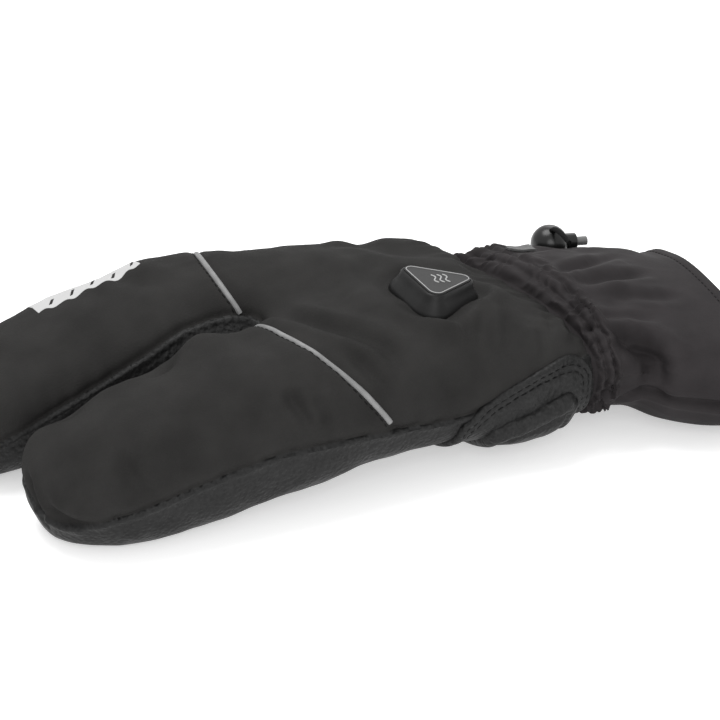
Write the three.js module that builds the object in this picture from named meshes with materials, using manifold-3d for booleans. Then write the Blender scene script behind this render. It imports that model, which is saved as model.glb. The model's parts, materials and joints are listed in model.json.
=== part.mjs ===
// Left-hand split-finger heated glove, lying palm down.
// Millimetres, +Z up. The fingers point to -X, the cuff to +X and the thumb to +Y.
// x = 0 is the wrist and y = 0 the slit between the two finger compartments.
import * as THREE from "three";
import { mergeVertices } from "three/addons/utils/BufferGeometryUtils.js";
import Module from "manifold-3d";

const wasm = await Module();
wasm.setup();

// Hand
const handLength = 98;
const handWidth = 138;
const handThickness = 60;
const paddedWall = 5;
const fingerRootAlong = 0.89;

// Finger compartments, measured from the crotch
const outerFingerLength = 104;
const innerFingerLength = 128;
const fingerWidth = 71;
const fingerThickness = 58;

// Thumb
const thumbLength = 103;
const thumbWidth = 38;
const thumbThickness = 31;
const thumbAngle = 33;
const thumbRoot = { along: 0.28, side: 0.25 };

// Gathered wrist and gauntlet
const gatherLength = 36;
const wristWidth = 98;
const wristThickness = 52;
const gatherWall = 4;
const pleatCount = 20;
const pleatDepth = 2.2;
const gauntletLength = 41;
const mouthWidth = 136;
const mouthThickness = 50;
const gauntletWall = 2.5;
const hemWidth = 9;
const hemThickening = 0.8;

// Trim
const pieceGap = 0.3;
const pipingRadius = 1.4;
const pipingSink = 0.5;
const heelPatchThickness = 1.6;
const heelCushionThickness = 5;
const heelReach = 30;
const heelSide = 0.2;

// Heat control
const controlBase = 31;
const controlDepth = 27;
const controlHeight = 7.5;
const controlFlare = 4.5;
const controlSunk = 2.5;
const controlCorner = 3.6;
const plateMargin = 0.8;
const plateThickness = 1.6;
const plateProud = 0.5;
const edgeRound = 0.5;
const controlPlace = { along: 0.46, side: -0.18 };

// Cord lock, cord and tab
const lockRadius = 7.9;
const collarRadius = 3.7;
const collarLength = 3.6;
const stemRadius = 1.95;
const stemOut = 5;
const pistonRadius = 3.2;
const slideClearance = 0.4;
const plungerTravel = 3;
const drawcordRadius = 1.1;
const cordClearance = 0.4;
const pistonHead = 1.2;
const pistonShoulder = 0.8;
const lockChamfer = 0.4;
const lockAngle = 15;
const lockStandOff = 0.8;
const lockLeanAngle = 12;
const tabLength = 11;
const tabWidth = 9;
const tabThickness = 1.2;
const tabPlace = { along: 0.72, side: 0.1 };

// Facets of the soft forms: steps along and points around
const handFacets = { steps: 10, count: 28 };
const outerFingerFacets = { steps: 9, count: 20 };
const innerFingerFacets = { steps: 10, count: 20 };
const thumbFacets = { steps: 7, count: 16 };
const gatherFacets = { steps: 4, count: pleatCount * 4, pleats: pleatCount };
const gatherInsideFacets = { steps: 4, count: 24 };
const gauntletFacets = { steps: 4, count: 28 };
const seamFacets = { along: 17, across: 9 };
const pipingFacets = { steps: 14, sides: 6 };
const cordFacets = { steps: 12, sides: 7 };
const lockFacets = 14;
const leastHalf = 1.5;

// Sections of the hand, in shares: along the hand from the wrist, the rest of its width or thickness.
// A dip presses the back in, dipAt to the side of the slit.
const handRows = [
  { along: 0.12, mid: -0.078, wide: 0.4, level: 0.54, up: 0.45, down: 0.47, dip: 0.1, dipAt: -0.1 },
  { along: 0.35, mid: -0.052, wide: 0.42, level: 0.54, up: 0.51, down: 0.44, dip: 0.08, dipAt: -0.12 },
  { along: 0.55, mid: -0.036, wide: 0.445, level: 0.53, up: 0.54, down: 0.43, dip: 0.06, dipAt: -0.08 },
  { along: 0.76, mid: -0.014, wide: 0.468, level: 0.54, up: 0.52, down: 0.45, dip: 0.09, dipAt: -0.02 },
  { along: 0.95, mid: 0.009, wide: 0.483, level: 0.53, up: 0.49, down: 0.46, dip: 0.15, dipAt: 0.01 },
  { along: 1.01, mid: 0.007, wide: 0.44, level: 0.52, up: 0.37, down: 0.36, dip: 0.15, dipAt: 0.01 },
  { along: 1.05, mid: 0.007, wide: 0.3, level: 0.5, up: 0.15, down: 0.15, dip: 0.05, dipAt: 0.01 },
];
const dipHalf = 0.14;

// Sections of a finger compartment, in shares of its own length, width and thickness.
const outerFingerRows = [
  { along: -0.22, mid: -0.46, wide: 0.4, level: 0.53, up: 0.4, down: 0.36 },
  { along: -0.02, mid: -0.475, wide: 0.475, level: 0.54, up: 0.5, down: 0.46 },
  { along: 0.16, mid: -0.475, wide: 0.465, level: 0.53, up: 0.5, down: 0.5 },
  { along: 0.34, mid: -0.482, wide: 0.448, level: 0.49, up: 0.5, down: 0.52 },
  { along: 0.53, mid: -0.49, wide: 0.425, level: 0.44, up: 0.46, down: 0.48 },
  { along: 0.72, mid: -0.495, wide: 0.395, level: 0.4, up: 0.42, down: 0.44 },
  { along: 0.86, mid: -0.465, wide: 0.335, level: 0.36, up: 0.35, down: 0.38 },
  { along: 0.95, mid: -0.425, wide: 0.23, level: 0.32, up: 0.25, down: 0.28 },
  { along: 1, mid: -0.4, wide: 0.09, level: 0.31, up: 0.1, down: 0.11 },
];
const innerFingerRows = [
  { along: -0.19, mid: 0.46, wide: 0.38, level: 0.53, up: 0.42, down: 0.36 },
  { along: -0.02, mid: 0.475, wide: 0.47, level: 0.55, up: 0.52, down: 0.47 },
  { along: 0.14, mid: 0.525, wide: 0.485, level: 0.53, up: 0.5, down: 0.51 },
  { along: 0.3, mid: 0.55, wide: 0.48, level: 0.5, up: 0.48, down: 0.53 },
  { along: 0.46, mid: 0.55, wide: 0.47, level: 0.46, up: 0.45, down: 0.5 },
  { along: 0.62, mid: 0.52, wide: 0.45, level: 0.42, up: 0.41, down: 0.46 },
  { along: 0.78, mid: 0.46, wide: 0.4, level: 0.38, up: 0.36, down: 0.41 },
  { along: 0.9, mid: 0.41, wide: 0.32, level: 0.34, up: 0.3, down: 0.36 },
  { along: 0.97, mid: 0.38, wide: 0.2, level: 0.31, up: 0.19, down: 0.26 },
  { along: 1, mid: 0.37, wide: 0.08, level: 0.29, up: 0.08, down: 0.11 },
];
const handRound = 0.77;
const fingerRound = 0.86;

// Sections of the thumb, in shares of its own length, width and thickness.
const thumbRows = [
  { along: 0, mid: -0.05, wide: 0.36, level: 0.66, up: 0.36, down: 0.36 },
  { along: 0.3, mid: 0.02, wide: 0.47, level: 0.56, up: 0.46, down: 0.46 },
  { along: 0.56, mid: 0.04, wide: 0.5, level: 0.5, up: 0.5, down: 0.52 },
  { along: 0.78, mid: 0.02, wide: 0.46, level: 0.48, up: 0.46, down: 0.5 },
  { along: 0.92, mid: -0.02, wide: 0.34, level: 0.45, up: 0.34, down: 0.42 },
  { along: 0.98, mid: -0.04, wide: 0.2, level: 0.42, up: 0.2, down: 0.28 },
  { along: 1, mid: -0.05, wide: 0.08, level: 0.42, up: 0.08, down: 0.1 },
];

// Sections of the gathered wrist: shares of its length, the wrist's width and thickness.
const gatherRows = [
  { along: 0, mid: -0.153, wide: 0.5, level: 0.6, up: 0.37, down: 0.49, pleat: 0.15, slant: -0.19 },
  { along: 0.16, mid: -0.165, wide: 0.5, level: 0.6, up: 0.46, down: 0.5, pleat: 0.7, slant: -0.14 },
  { along: 0.36, mid: -0.18, wide: 0.495, level: 0.6, up: 0.48, down: 0.5, pleat: 1, slant: -0.07 },
  { along: 0.56, mid: -0.2, wide: 0.485, level: 0.6, up: 0.47, down: 0.5, pleat: 0.9, slant: 0.01 },
  { along: 0.76, mid: -0.215, wide: 0.48, level: 0.59, up: 0.45, down: 0.5, pleat: 1, slant: 0.09 },
  { along: 1, mid: -0.23, wide: 0.48, level: 0.58, up: 0.44, down: 0.52, pleat: 0.55, slant: 0.15 },
];

// Sections of the gauntlet past the gathers: shares of its length, its mouth's width and thickness.
const gauntletRows = [
  { along: 0.2, mid: -0.185, wide: 0.39, level: 0.55, up: 0.47, down: 0.55, slant: 0.15 },
  { along: 0.5, mid: -0.226, wide: 0.409, level: 0.51, up: 0.45, down: 0.55, slant: 0.15 },
  { along: 0.78, mid: -0.255, wide: 0.425, level: 0.49, up: 0.44, down: 0.53, slant: 0.15 },
  { along: 1, mid: -0.267, wide: 0.436, level: 0.48, up: 0.44, down: 0.52, slant: 0.15 },
];

// Height of the seam between fabric and leather, in shares of the thickness:
// on the outside of the glove, and on the walls that face each other between the compartments.
const seamRows = [
  { along: -1.4, outer: 0.1, between: 0.16 },
  { along: -1, outer: 0.15, between: 0.24 },
  { along: -0.8, outer: 0.19, between: 0.36 },
  { along: -0.65, outer: 0.3, between: 0.47 },
  { along: -0.5, outer: 0.39, between: 0.58 },
  { along: -0.35, outer: 0.47, between: 0.7 },
  { along: -0.2, outer: 0.53, between: 0.82 },
  { along: 0, outer: 0.54, between: 0.84 },
  { along: 0.2, outer: 0.52, between: 0.5 },
  { along: 0.6, outer: 0.48, between: 0.48 },
  { along: 0.8, outer: 0.56, between: 0.5 },
  { along: 1, outer: 0.65, between: 0.5 },
  { along: 1.4, outer: 0.7, between: 0.5 },
];
const seamBetweenHalf = 0.26;
const seamReach = 1.4;
const seamHalfWidth = 0.75;

// Heel patch and cushion seen from the side, in shares of the hand's length and thickness.
const heelPatchOutline = [
  { along: -0.47, up: -0.3 },
  { along: -0.47, up: 0.32 },
  { along: -0.41, up: 0.46 },
  { along: -0.3, up: 0.58 },
  { along: -0.16, up: 0.67 },
  { along: -0.03, up: 0.71 },
  { along: 0.06, up: 0.69 },
  { along: 0.115, up: 0.6 },
  { along: 0.12, up: 0.48 },
  { along: 0.1, up: -0.3 },
];
const heelCushionOutline = [
  { along: -0.33, up: -0.3 },
  { along: -0.33, up: 0.24 },
  { along: -0.28, up: 0.35 },
  { along: -0.17, up: 0.42 },
  { along: -0.01, up: 0.5 },
  { along: 0.035, up: 0.44 },
  { along: 0.05, up: 0.36 },
  { along: 0.05, up: -0.3 },
];

// The piping lies in a slanted plane through three points: shares of the hand's length, width and thickness.
const outerPiping = [
  { along: -0.73, side: -0.45, up: 0.45 },
  { along: -1.03, side: -0.25, up: 1.01 },
  { along: -1.07, side: 0.035, up: 0.8 },
];
const innerPiping = [
  { along: -1.0, side: 0.46, up: 0.87 },
  { along: -1.08, side: 0.2, up: 1.02 },
  { along: -1.03, side: 0.09, up: 0.83 },
];
// Where each piping starts and ends, in degrees round the middle of its half of the hand
const outerPipingArc = { fromAngle: 184, toAngle: 32, side: -0.25 };
const innerPipingArc = { fromAngle: 2, toAngle: 144, side: 0.26 };

// The drawcord through its lock, in shares of the lock's radius
const cordRows = [
  { across: -1.8, away: -1.6 },
  { across: -1.6, away: -0.75 },
  { across: -1.15, away: -0.05 },
  { across: -0.5, away: 0 },
  { across: 0.5, away: 0 },
  { across: 1.15, away: -0.05 },
  { across: 1.6, away: -0.75 },
  { across: 1.8, away: -1.6 },
];

const fabric = new THREE.MeshStandardMaterial({ color: 0x3a3a3a, roughness: 0.85, metalness: 0 });
const cuffFabric = new THREE.MeshStandardMaterial({ color: 0x3a3538, roughness: 0.85, metalness: 0 });
const leather = new THREE.MeshStandardMaterial({ color: 0x363636, roughness: 0.6, metalness: 0 });
const pipingTape = new THREE.MeshStandardMaterial({ color: 0x9a9a9a, roughness: 0.5, metalness: 0 });
const rubber = new THREE.MeshStandardMaterial({ color: 0x2b2b29, roughness: 0.6, metalness: 0 });
const gloss = new THREE.MeshStandardMaterial({ color: 0x454545, roughness: 0.35, metalness: 0 });
const plastic = new THREE.MeshStandardMaterial({ color: 0x1f1f1f, roughness: 0.3, metalness: 0 });
const cordBraid = new THREE.MeshStandardMaterial({ color: 0x202020, roughness: 0.8, metalness: 0 });

const glove = new THREE.Group();
glove.name = "heated_glove";

// Solids

function solidOf(geometry) {
  const bare = geometry.clone();
  bare.deleteAttribute("normal");
  bare.deleteAttribute("uv");
  const merged = mergeVertices(bare, 1e-4);
  const vertProperties = new Float32Array(merged.attributes.position.array);
  const triVerts = new Uint32Array(merged.index.array);
  return new wasm.Manifold(new wasm.Mesh({ numProp: 3, vertProperties, triVerts }));
}

function geometryOf(solid) {
  const mesh = solid.getMesh();
  const geometry = new THREE.BufferGeometry();
  geometry.setAttribute("position", new THREE.BufferAttribute(new Float32Array(mesh.vertProperties), 3));
  geometry.setIndex(new THREE.BufferAttribute(new Uint32Array(mesh.triVerts), 1));
  geometry.computeVertexNormals();
  return geometry;
}

function addPiece(name, solid, material) {
  const mesh = new THREE.Mesh(geometryOf(solid), material);
  mesh.name = name;
  glove.add(mesh);
  return mesh;
}

// A closed solid from rings of equal count, with a fan on each end.
function loft(rings) {
  const count = rings[0].length;
  const points = rings.flat();
  const faces = [];
  for (let r = 0; r + 1 < rings.length; r++)
    for (let i = 0; i < count; i++) {
      const a = r * count + i;
      const b = r * count + ((i + 1) % count);
      faces.push(a, b, b + count, a, b + count, a + count);
    }
  for (const [ring, first] of [[rings[0], 0], [rings.at(-1), (rings.length - 1) * count]]) {
    const centre = ring.reduce((sum, p) => sum.add(p), new THREE.Vector3()).divideScalar(count);
    const hub = points.push(centre) - 1;
    for (let i = 0; i < count; i++) {
      const edge = [first + i, first + ((i + 1) % count)];
      if (first === 0) edge.reverse();
      faces.push(hub, ...edge);
    }
  }
  let volume = 0;
  for (let i = 0; i < faces.length; i += 3) {
    const [a, b, c] = faces.slice(i, i + 3).map((k) => points[k]);
    volume += a.dot(new THREE.Vector3().crossVectors(b, c));
  }
  if (volume < 0) faces.reverse();
  const geometry = new THREE.BufferGeometry().setFromPoints(points);
  geometry.setIndex(faces);
  return geometry;
}

// Smooth rows between those of a table.
function rowAt(rows, place) {
  const k = Math.min(Math.floor(place), rows.length - 2);
  const f = place - k;
  const near = [-1, 0, 1, 2].map((step) => rows[THREE.MathUtils.clamp(k + step, 0, rows.length - 1)]);
  const row = {};
  for (const name of Object.keys(rows[0])) {
    const [a, b, c, d] = near.map((each) => each[name]);
    row[name] = b + 0.5 * f * (c - a + f * (2 * a - 5 * b + 4 * c - d + f * (3 * (b - c) + d - a)));
  }
  return row;
}

function stations(rows, steps) {
  return Array.from({ length: steps + 1 }, (_, i) => rowAt(rows, (i / steps) * (rows.length - 1)));
}

function columnAt(rows, along, column) {
  const last = rows.length - 1;
  let k = rows.findIndex((row, i) => i < last && along <= rows[i + 1].along);
  if (k < 0) k = last - 1;
  const span = rows[k + 1].along - rows[k].along;
  const f = THREE.MathUtils.clamp((along - rows[k].along) / span, 0, 1);
  return rowAt(rows, k + f)[column];
}

function signedPower(value, power) {
  return Math.sign(value) * Math.abs(value) ** power;
}

// The absolute sizes of a table of shares.
function sized(rows, fromX, length, width, thickness, round = fingerRound) {
  return rows.map((row) => ({
    ...row,
    x: fromX + row.along * length,
    mid: row.mid * width,
    wide: row.wide * width,
    level: row.level * thickness,
    up: row.up * thickness,
    down: row.down * thickness,
    dip: (row.dip ?? 0) * thickness,
    dipAt: (row.dipAt ?? 0) * width,
    round,
    slant: row.slant ?? 0,
    pleat: (row.pleat ?? 0) * pleatDepth,
  }));
}

// A point of a soft section: rounded, and flattened where it meets the surface at z = 0.
function sectionPoint(size, turn, inset, pleats) {
  const pleat = pleats ? (size.pleat / 2) * Math.cos(pleats * turn) : 0;
  const y = size.mid + (size.wide - inset + pleat) * signedPower(Math.cos(turn), size.round);
  const rise = signedPower(Math.sin(turn), size.round);
  const half = rise > 0 ? size.up : size.down;
  const pressed = size.dip * Math.exp(-(((y - size.dipAt) / (dipHalf * handWidth)) ** 2));
  const z = size.level + (half - inset + pleat) * rise - pressed * Math.max(rise, 0);
  return new THREE.Vector3(size.x + size.slant * (y - size.mid), y, Math.max(z, inset, 0));
}

// A solid through soft sections, drawn in by inset, with its two ends moved outward.
function softForm(sizes, { steps, count, inset = 0, openFirst = 0, openLast = 0, pleats = 0 }) {
  const rows = stations(sizes, steps);
  const way = Math.sign(rows.at(-1).x - rows[0].x);
  rows[0].x -= openFirst * way;
  rows.at(-1).x += openLast * way;
  const least = inset + leastHalf;
  const rings = rows.map((row) => {
    const size = {
      ...row,
      wide: Math.max(row.wide, least),
      up: Math.max(row.up, least),
      down: Math.max(row.down, least),
    };
    const turns = Array.from({ length: count }, (_, i) => (i / count) * 2 * Math.PI);
    return turns.map((turn) => sectionPoint(size, turn, inset, pleats));
  });
  return loft(rings);
}

// A finger's sections with its tip drawn in by inset.
function drawnIn(sizes, inset) {
  return sizes.map((size) => ({ ...size, x: size.x + inset * Math.max(0, size.along) ** 4 }));
}

// Hand and fingers

const wristX = 0.05 * handLength;
const crotchX = -handLength;
const gatherSizes = sized(gatherRows, wristX + pieceGap, gatherLength, wristWidth, wristThickness);
const handSizes = [
  { ...gatherSizes[0], x: wristX },
  ...sized(handRows, 0, -handLength, handWidth, handThickness, handRound),
];
const outerFingerSizes = sized(outerFingerRows, crotchX, -outerFingerLength, fingerWidth, fingerThickness);
const innerFingerSizes = sized(innerFingerRows, crotchX, -innerFingerLength, fingerWidth, fingerThickness);

function gloveForm(inset, open) {
  const hand = softForm(handSizes, { ...handFacets, inset, openFirst: open });
  const outer = softForm(drawnIn(outerFingerSizes, inset), { ...outerFingerFacets, inset });
  const inner = softForm(drawnIn(innerFingerSizes, inset), { ...innerFingerFacets, inset });
  return solidOf(hand).add(solidOf(outer)).add(solidOf(inner));
}

const thumbFrame = new THREE.Matrix4()
  .makeTranslation(-thumbRoot.along * handLength, thumbRoot.side * handWidth, 0)
  .multiply(new THREE.Matrix4().makeRotationZ(-THREE.MathUtils.degToRad(thumbAngle)));

function thumbForm(inset) {
  const sizes = sized(thumbRows, 0, -thumbLength, thumbWidth, thumbThickness);
  return solidOf(softForm(drawnIn(sizes, inset), { ...thumbFacets, inset }).applyMatrix4(thumbFrame));
}

// Everything below the seam between fabric and leather, moved up by lift.
function belowSeam(lift) {
  const xs = seamFacets.along;
  const ys = seamFacets.across;
  const fromX = crotchX - seamReach * innerFingerLength;
  const toX = seamReach * handLength - handLength;
  const halfY = seamHalfWidth * handWidth;
  const low = -handThickness;
  const top = [];
  for (let i = 0; i <= xs; i++)
    for (let j = 0; j <= ys; j++) {
      const x = THREE.MathUtils.lerp(fromX, toX, i / xs);
      const y = THREE.MathUtils.lerp(-halfY, halfY, j / ys);
      top.push(new THREE.Vector3(x, y, seamHeight(x, y) + lift));
    }
  const points = [...top, ...top.map((p) => new THREE.Vector3(p.x, p.y, low))];
  const size = (xs + 1) * (ys + 1);
  const at = (i, j) => i * (ys + 1) + j;
  const faces = [];
  const quad = (a, b, c, d) => faces.push(a, b, c, a, c, d);
  for (let i = 0; i < xs; i++)
    for (let j = 0; j < ys; j++) {
      quad(at(i, j), at(i + 1, j), at(i + 1, j + 1), at(i, j + 1));
      quad(size + at(i, j), size + at(i, j + 1), size + at(i + 1, j + 1), size + at(i + 1, j));
    }
  for (let i = 0; i < xs; i++) {
    quad(at(i, 0), size + at(i, 0), size + at(i + 1, 0), at(i + 1, 0));
    quad(at(i, ys), at(i + 1, ys), size + at(i + 1, ys), size + at(i, ys));
  }
  for (let j = 0; j < ys; j++) {
    quad(at(0, j), at(0, j + 1), size + at(0, j + 1), size + at(0, j));
    quad(at(xs, j), size + at(xs, j), size + at(xs, j + 1), at(xs, j + 1));
  }
  const geometry = new THREE.BufferGeometry().setFromPoints(points);
  geometry.setIndex(faces);
  return solidOf(geometry);
}

function seamHeight(x, y) {
  const length = x < crotchX ? innerFingerLength : handLength;
  const along = (x - crotchX) / length;
  const outer = columnAt(seamRows, along, "outer");
  const between = columnAt(seamRows, along, "between");
  const share = Math.exp(-((y / (seamBetweenHalf * handWidth)) ** 4));
  return handThickness * THREE.MathUtils.lerp(outer, between, share);
}

// A plane through three named points, as a point, its normal to -X, and two directions in it.
function slantedPlane(points) {
  const [a, b, c] = points.map(
    (p) => new THREE.Vector3(p.along * handLength, p.side * handWidth, p.up * handThickness),
  );
  const normal = new THREE.Vector3().crossVectors(b.clone().sub(a), c.clone().sub(a)).normalize();
  if (normal.x > 0) normal.negate();
  const across = new THREE.Vector3(0, 0, 1).cross(normal).normalize();
  const upward = new THREE.Vector3().crossVectors(normal, across).normalize();
  if (upward.z < 0) upward.negate();
  return { point: a, normal, across, upward };
}

// Everything on the finger side of a plane, from yFrom to yTo.
function fingerSide(plane, yFrom, yTo) {
  const reach = 2 * (handLength + innerFingerLength);
  const slab = new THREE.BoxGeometry(reach, reach, reach);
  const frame = new THREE.Matrix4().makeBasis(plane.normal, plane.across, plane.upward);
  if (frame.determinant() < 0) frame.makeBasis(plane.normal, plane.across.clone().negate(), plane.upward);
  const centre = plane.point.clone().addScaledVector(plane.normal, reach / 2);
  slab.applyMatrix4(frame.setPosition(centre));
  const band = new THREE.BoxGeometry(reach, yTo - yFrom, reach);
  band.translate(crotchX, (yFrom + yTo) / 2, 0);
  return solidOf(slab).intersect(solidOf(band));
}

// The curve in which a slanted plane meets a form, over its back from one seam to the other.
function curveOver(target, plane, arc) {
  const ray = new THREE.Raycaster();
  const points = [];
  const hub = new THREE.Vector3(crotchX, arc.side * handWidth, 0.5 * handThickness);
  const origin = hub.clone().addScaledVector(plane.normal, plane.point.clone().sub(hub).dot(plane.normal));
  const steps = pipingFacets.steps + 2;
  for (let i = 0; i <= steps; i++) {
    const angle = THREE.MathUtils.degToRad(THREE.MathUtils.lerp(arc.fromAngle, arc.toAngle, i / steps));
    const side = plane.across.y > 0 ? 1 : -1;
    const way = plane.across.clone().multiplyScalar(side * Math.cos(angle));
    way.addScaledVector(plane.upward, Math.sin(angle)).normalize();
    ray.set(origin, way);
    const hits = ray.intersectObject(target);
    if (hits.length === 0) continue;
    points.push(origin.clone().addScaledVector(way, hits.at(-1).distance - pipingSink));
  }
  return new THREE.CatmullRomCurve3(points, false, "centripetal");
}

function tube(curve, radius, { sides, steps }) {
  const section = new THREE.Shape(
    Array.from({ length: sides }, (_, i) => {
      const turn = (i / sides) * 2 * Math.PI;
      return new THREE.Vector2(radius * Math.cos(turn), radius * Math.sin(turn));
    }),
  );
  return solidOf(new THREE.ExtrudeGeometry(section, { extrudePath: curve, steps, bevelEnabled: false }));
}

// A prism from a side outline in X and Z, from yFrom to yTo.
function sidePrism(outline, yFrom, yTo) {
  const shape = new THREE.Shape(
    outline.map((p) => new THREE.Vector2(p.along * handLength, p.up * handThickness)),
  );
  const geometry = new THREE.ExtrudeGeometry(shape, { depth: yTo - yFrom, bevelEnabled: false });
  geometry.applyMatrix4(new THREE.Matrix4().makeRotationX(Math.PI / 2));
  geometry.translate(0, yTo, 0);
  return solidOf(geometry);
}

const outside = gloveForm(0, 0);
const inside = gloveForm(paddedWall, 1);
const thumbInside = thumbForm(paddedWall);
const outsideMesh = new THREE.Mesh(
  geometryOf(outside),
  new THREE.MeshBasicMaterial({ side: THREE.DoubleSide }),
);
outsideMesh.updateMatrixWorld(true);

// Control on the back of the hand

function surfacePoint(x, y) {
  const ray = new THREE.Raycaster(new THREE.Vector3(x, y, 3 * handThickness), new THREE.Vector3(0, 0, -1));
  return ray.intersectObject(outsideMesh)[0].point;
}

const controlX = -controlPlace.along * handLength;
const controlY = controlPlace.side * handWidth;
const controlSpots = [
  [0, 0.5],
  [0, -0.5],
  [1, 0],
].map(([forth, side]) => surfacePoint(controlX + forth * controlDepth, controlY + side * controlBase));
const controlCentre = new THREE.Vector3()
  .add(controlSpots[0])
  .add(controlSpots[1])
  .add(controlSpots[2])
  .divideScalar(3);
const controlUp = new THREE.Vector3()
  .crossVectors(controlSpots[1].clone().sub(controlSpots[0]), controlSpots[2].clone().sub(controlSpots[0]))
  .normalize();
if (controlUp.z < 0) controlUp.negate();
const controlForth = new THREE.Vector3(1, 0, 0).projectOnPlane(controlUp).normalize();
const controlSide = new THREE.Vector3().crossVectors(controlUp, controlForth);
const controlFrame = new THREE.Matrix4()
  .makeBasis(controlForth, controlSide, controlUp)
  .setPosition(controlCentre);

// A triangle with round corners: its base on the finger side and its point toward the wrist.
function controlRing(grow, height) {
  const corners = [
    [-controlDepth / 3, -controlBase / 2],
    [(controlDepth * 2) / 3, 0],
    [-controlDepth / 3, controlBase / 2],
  ].map(([x, y]) => new THREE.Vector2(x, y));
  const ring = [];
  const radius = controlCorner + grow;
  corners.forEach((corner, i) => {
    const back = corners[(i + 2) % 3].clone().sub(corner).normalize();
    const ahead = corners[(i + 1) % 3].clone().sub(corner).normalize();
    const half = Math.acos(back.dot(ahead)) / 2;
    const bisector = back.clone().add(ahead).normalize();
    const centre = corner.clone().addScaledVector(bisector, controlCorner / Math.sin(half));
    const from = Math.atan2(-bisector.y, -bisector.x) - (Math.PI / 2 - half);
    for (let k = 0; k <= 4; k++) {
      const turn = from + (k / 4) * (Math.PI - 2 * half);
      const spot = new THREE.Vector2(Math.cos(turn), Math.sin(turn)).multiplyScalar(radius).add(centre);
      ring.push(new THREE.Vector3(spot.x, spot.y, height));
    }
  });
  return ring;
}

const plateRecess = plateThickness - plateProud + pieceGap;
const controlSolid = solidOf(
  loft([
    controlRing(controlFlare, -controlSunk),
    controlRing(controlFlare, 0),
    controlRing(controlFlare / 2, controlHeight / 2),
    controlRing(plateMargin + edgeRound, controlHeight - edgeRound),
    controlRing(plateMargin, controlHeight),
  ]).applyMatrix4(controlFrame),
);
const controlSeat = solidOf(
  loft([
    controlRing(controlFlare + pieceGap, -controlSunk - pieceGap),
    controlRing(controlFlare + pieceGap, controlHeight),
  ]).applyMatrix4(controlFrame),
);
const plateSeat = solidOf(
  loft([
    controlRing(pieceGap, controlHeight - plateRecess),
    controlRing(pieceGap, controlHeight + plateProud),
  ]).applyMatrix4(controlFrame),
);
const plateSolid = solidOf(
  loft([
    controlRing(0, controlHeight - plateRecess + pieceGap),
    controlRing(0, controlHeight + plateProud / 2),
    controlRing(-plateProud / 2, controlHeight + plateProud),
  ]).applyMatrix4(controlFrame),
);

// Panels of the hand and fingers

const shell = outside.subtract(inside).subtract(thumbInside);
const outerPlane = slantedPlane(outerPiping);
const innerPlane = slantedPlane(innerPiping);
const outerPipingCurve = curveOver(outsideMesh, outerPlane, outerPipingArc);
const innerPipingCurve = curveOver(outsideMesh, innerPlane, innerPipingArc);
const outerGroove = tube(outerPipingCurve, pipingRadius + pieceGap, pipingFacets);
const innerGroove = tube(innerPipingCurve, pipingRadius + pieceGap, pipingFacets);
const grooves = outerGroove.add(innerGroove);

const far = handWidth;
const leatherPart = shell.intersect(belowSeam(-pieceGap / 2));
const fabricPart = shell.subtract(belowSeam(pieceGap / 2)).subtract(grooves).subtract(controlSeat);
const outerFingerZone = fingerSide(outerPlane, -far, -pieceGap / 2);
const innerFingerZone = fingerSide(innerPlane, pieceGap / 2, far);
const shiftedPlane = (plane) => ({
  ...plane,
  point: plane.point.clone().addScaledVector(plane.normal, -pieceGap),
});
const fingerZones = fingerSide(shiftedPlane(outerPlane), -far, pieceGap / 2).add(
  fingerSide(shiftedPlane(innerPlane), -pieceGap / 2, far),
);

// The leather fronts of the fingers meet the palm in a straight seam across the finger roots.
const rootSeam = {
  point: new THREE.Vector3(-fingerRootAlong * handLength, 0, 0),
  normal: new THREE.Vector3(-1, 0, 0),
  across: new THREE.Vector3(0, 1, 0),
  upward: new THREE.Vector3(0, 0, 1),
};
const leatherSide = leatherPart.subtract(grooves);
const palmSide = leatherSide.subtract(fingerSide(shiftedPlane(rootSeam), -far, far));
const outerFront = leatherSide.intersect(fingerSide(rootSeam, -far, -pieceGap / 2));
const innerFront = leatherSide.intersect(fingerSide(rootSeam, pieceGap / 2, far));
addPiece("palm_leather", palmSide, leather);
addPiece("finger_front_outer", outerFront, leather);
addPiece("finger_front_inner", innerFront, leather);
addPiece("finger_back_outer", fabricPart.intersect(outerFingerZone), fabric);
addPiece("finger_back_inner", fabricPart.intersect(innerFingerZone), fabric);
addPiece("back_panel", fabricPart.subtract(fingerZones), fabric);
addPiece("piping_outer", tube(outerPipingCurve, pipingRadius, pipingFacets), pipingTape);
addPiece("piping_inner", tube(innerPipingCurve, pipingRadius, pipingFacets), pipingTape);
addPiece("control_base", controlSolid.subtract(plateSeat), rubber);
addPiece("control_plate", plateSolid, gloss);

// Thumb: a fabric back over a leather front, split at half its height

const thumbShell = thumbForm(0).subtract(thumbInside).subtract(gloveForm(-pieceGap, 0));
function thumbHalfSpace(from, to) {
  const reach = handLength + handWidth;
  const block = new THREE.BoxGeometry(2 * reach, 2 * reach, to - from);
  block.translate(0, reach / 2, (from + to) / 2);
  return solidOf(block);
}
const thumbSeam = thumbThickness * 0.5;
const lowerThumb = thumbHalfSpace(-thumbThickness, thumbSeam - pieceGap / 2);
const upperThumb = thumbHalfSpace(thumbSeam + pieceGap / 2, 3 * thumbThickness);
addPiece("thumb_front", thumbShell.intersect(lowerThumb), leather);
addPiece("thumb_back", thumbShell.intersect(upperThumb), fabric);

// Heel patch and cushion on the little-finger side

const heelTo = -heelSide * handWidth;
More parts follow.
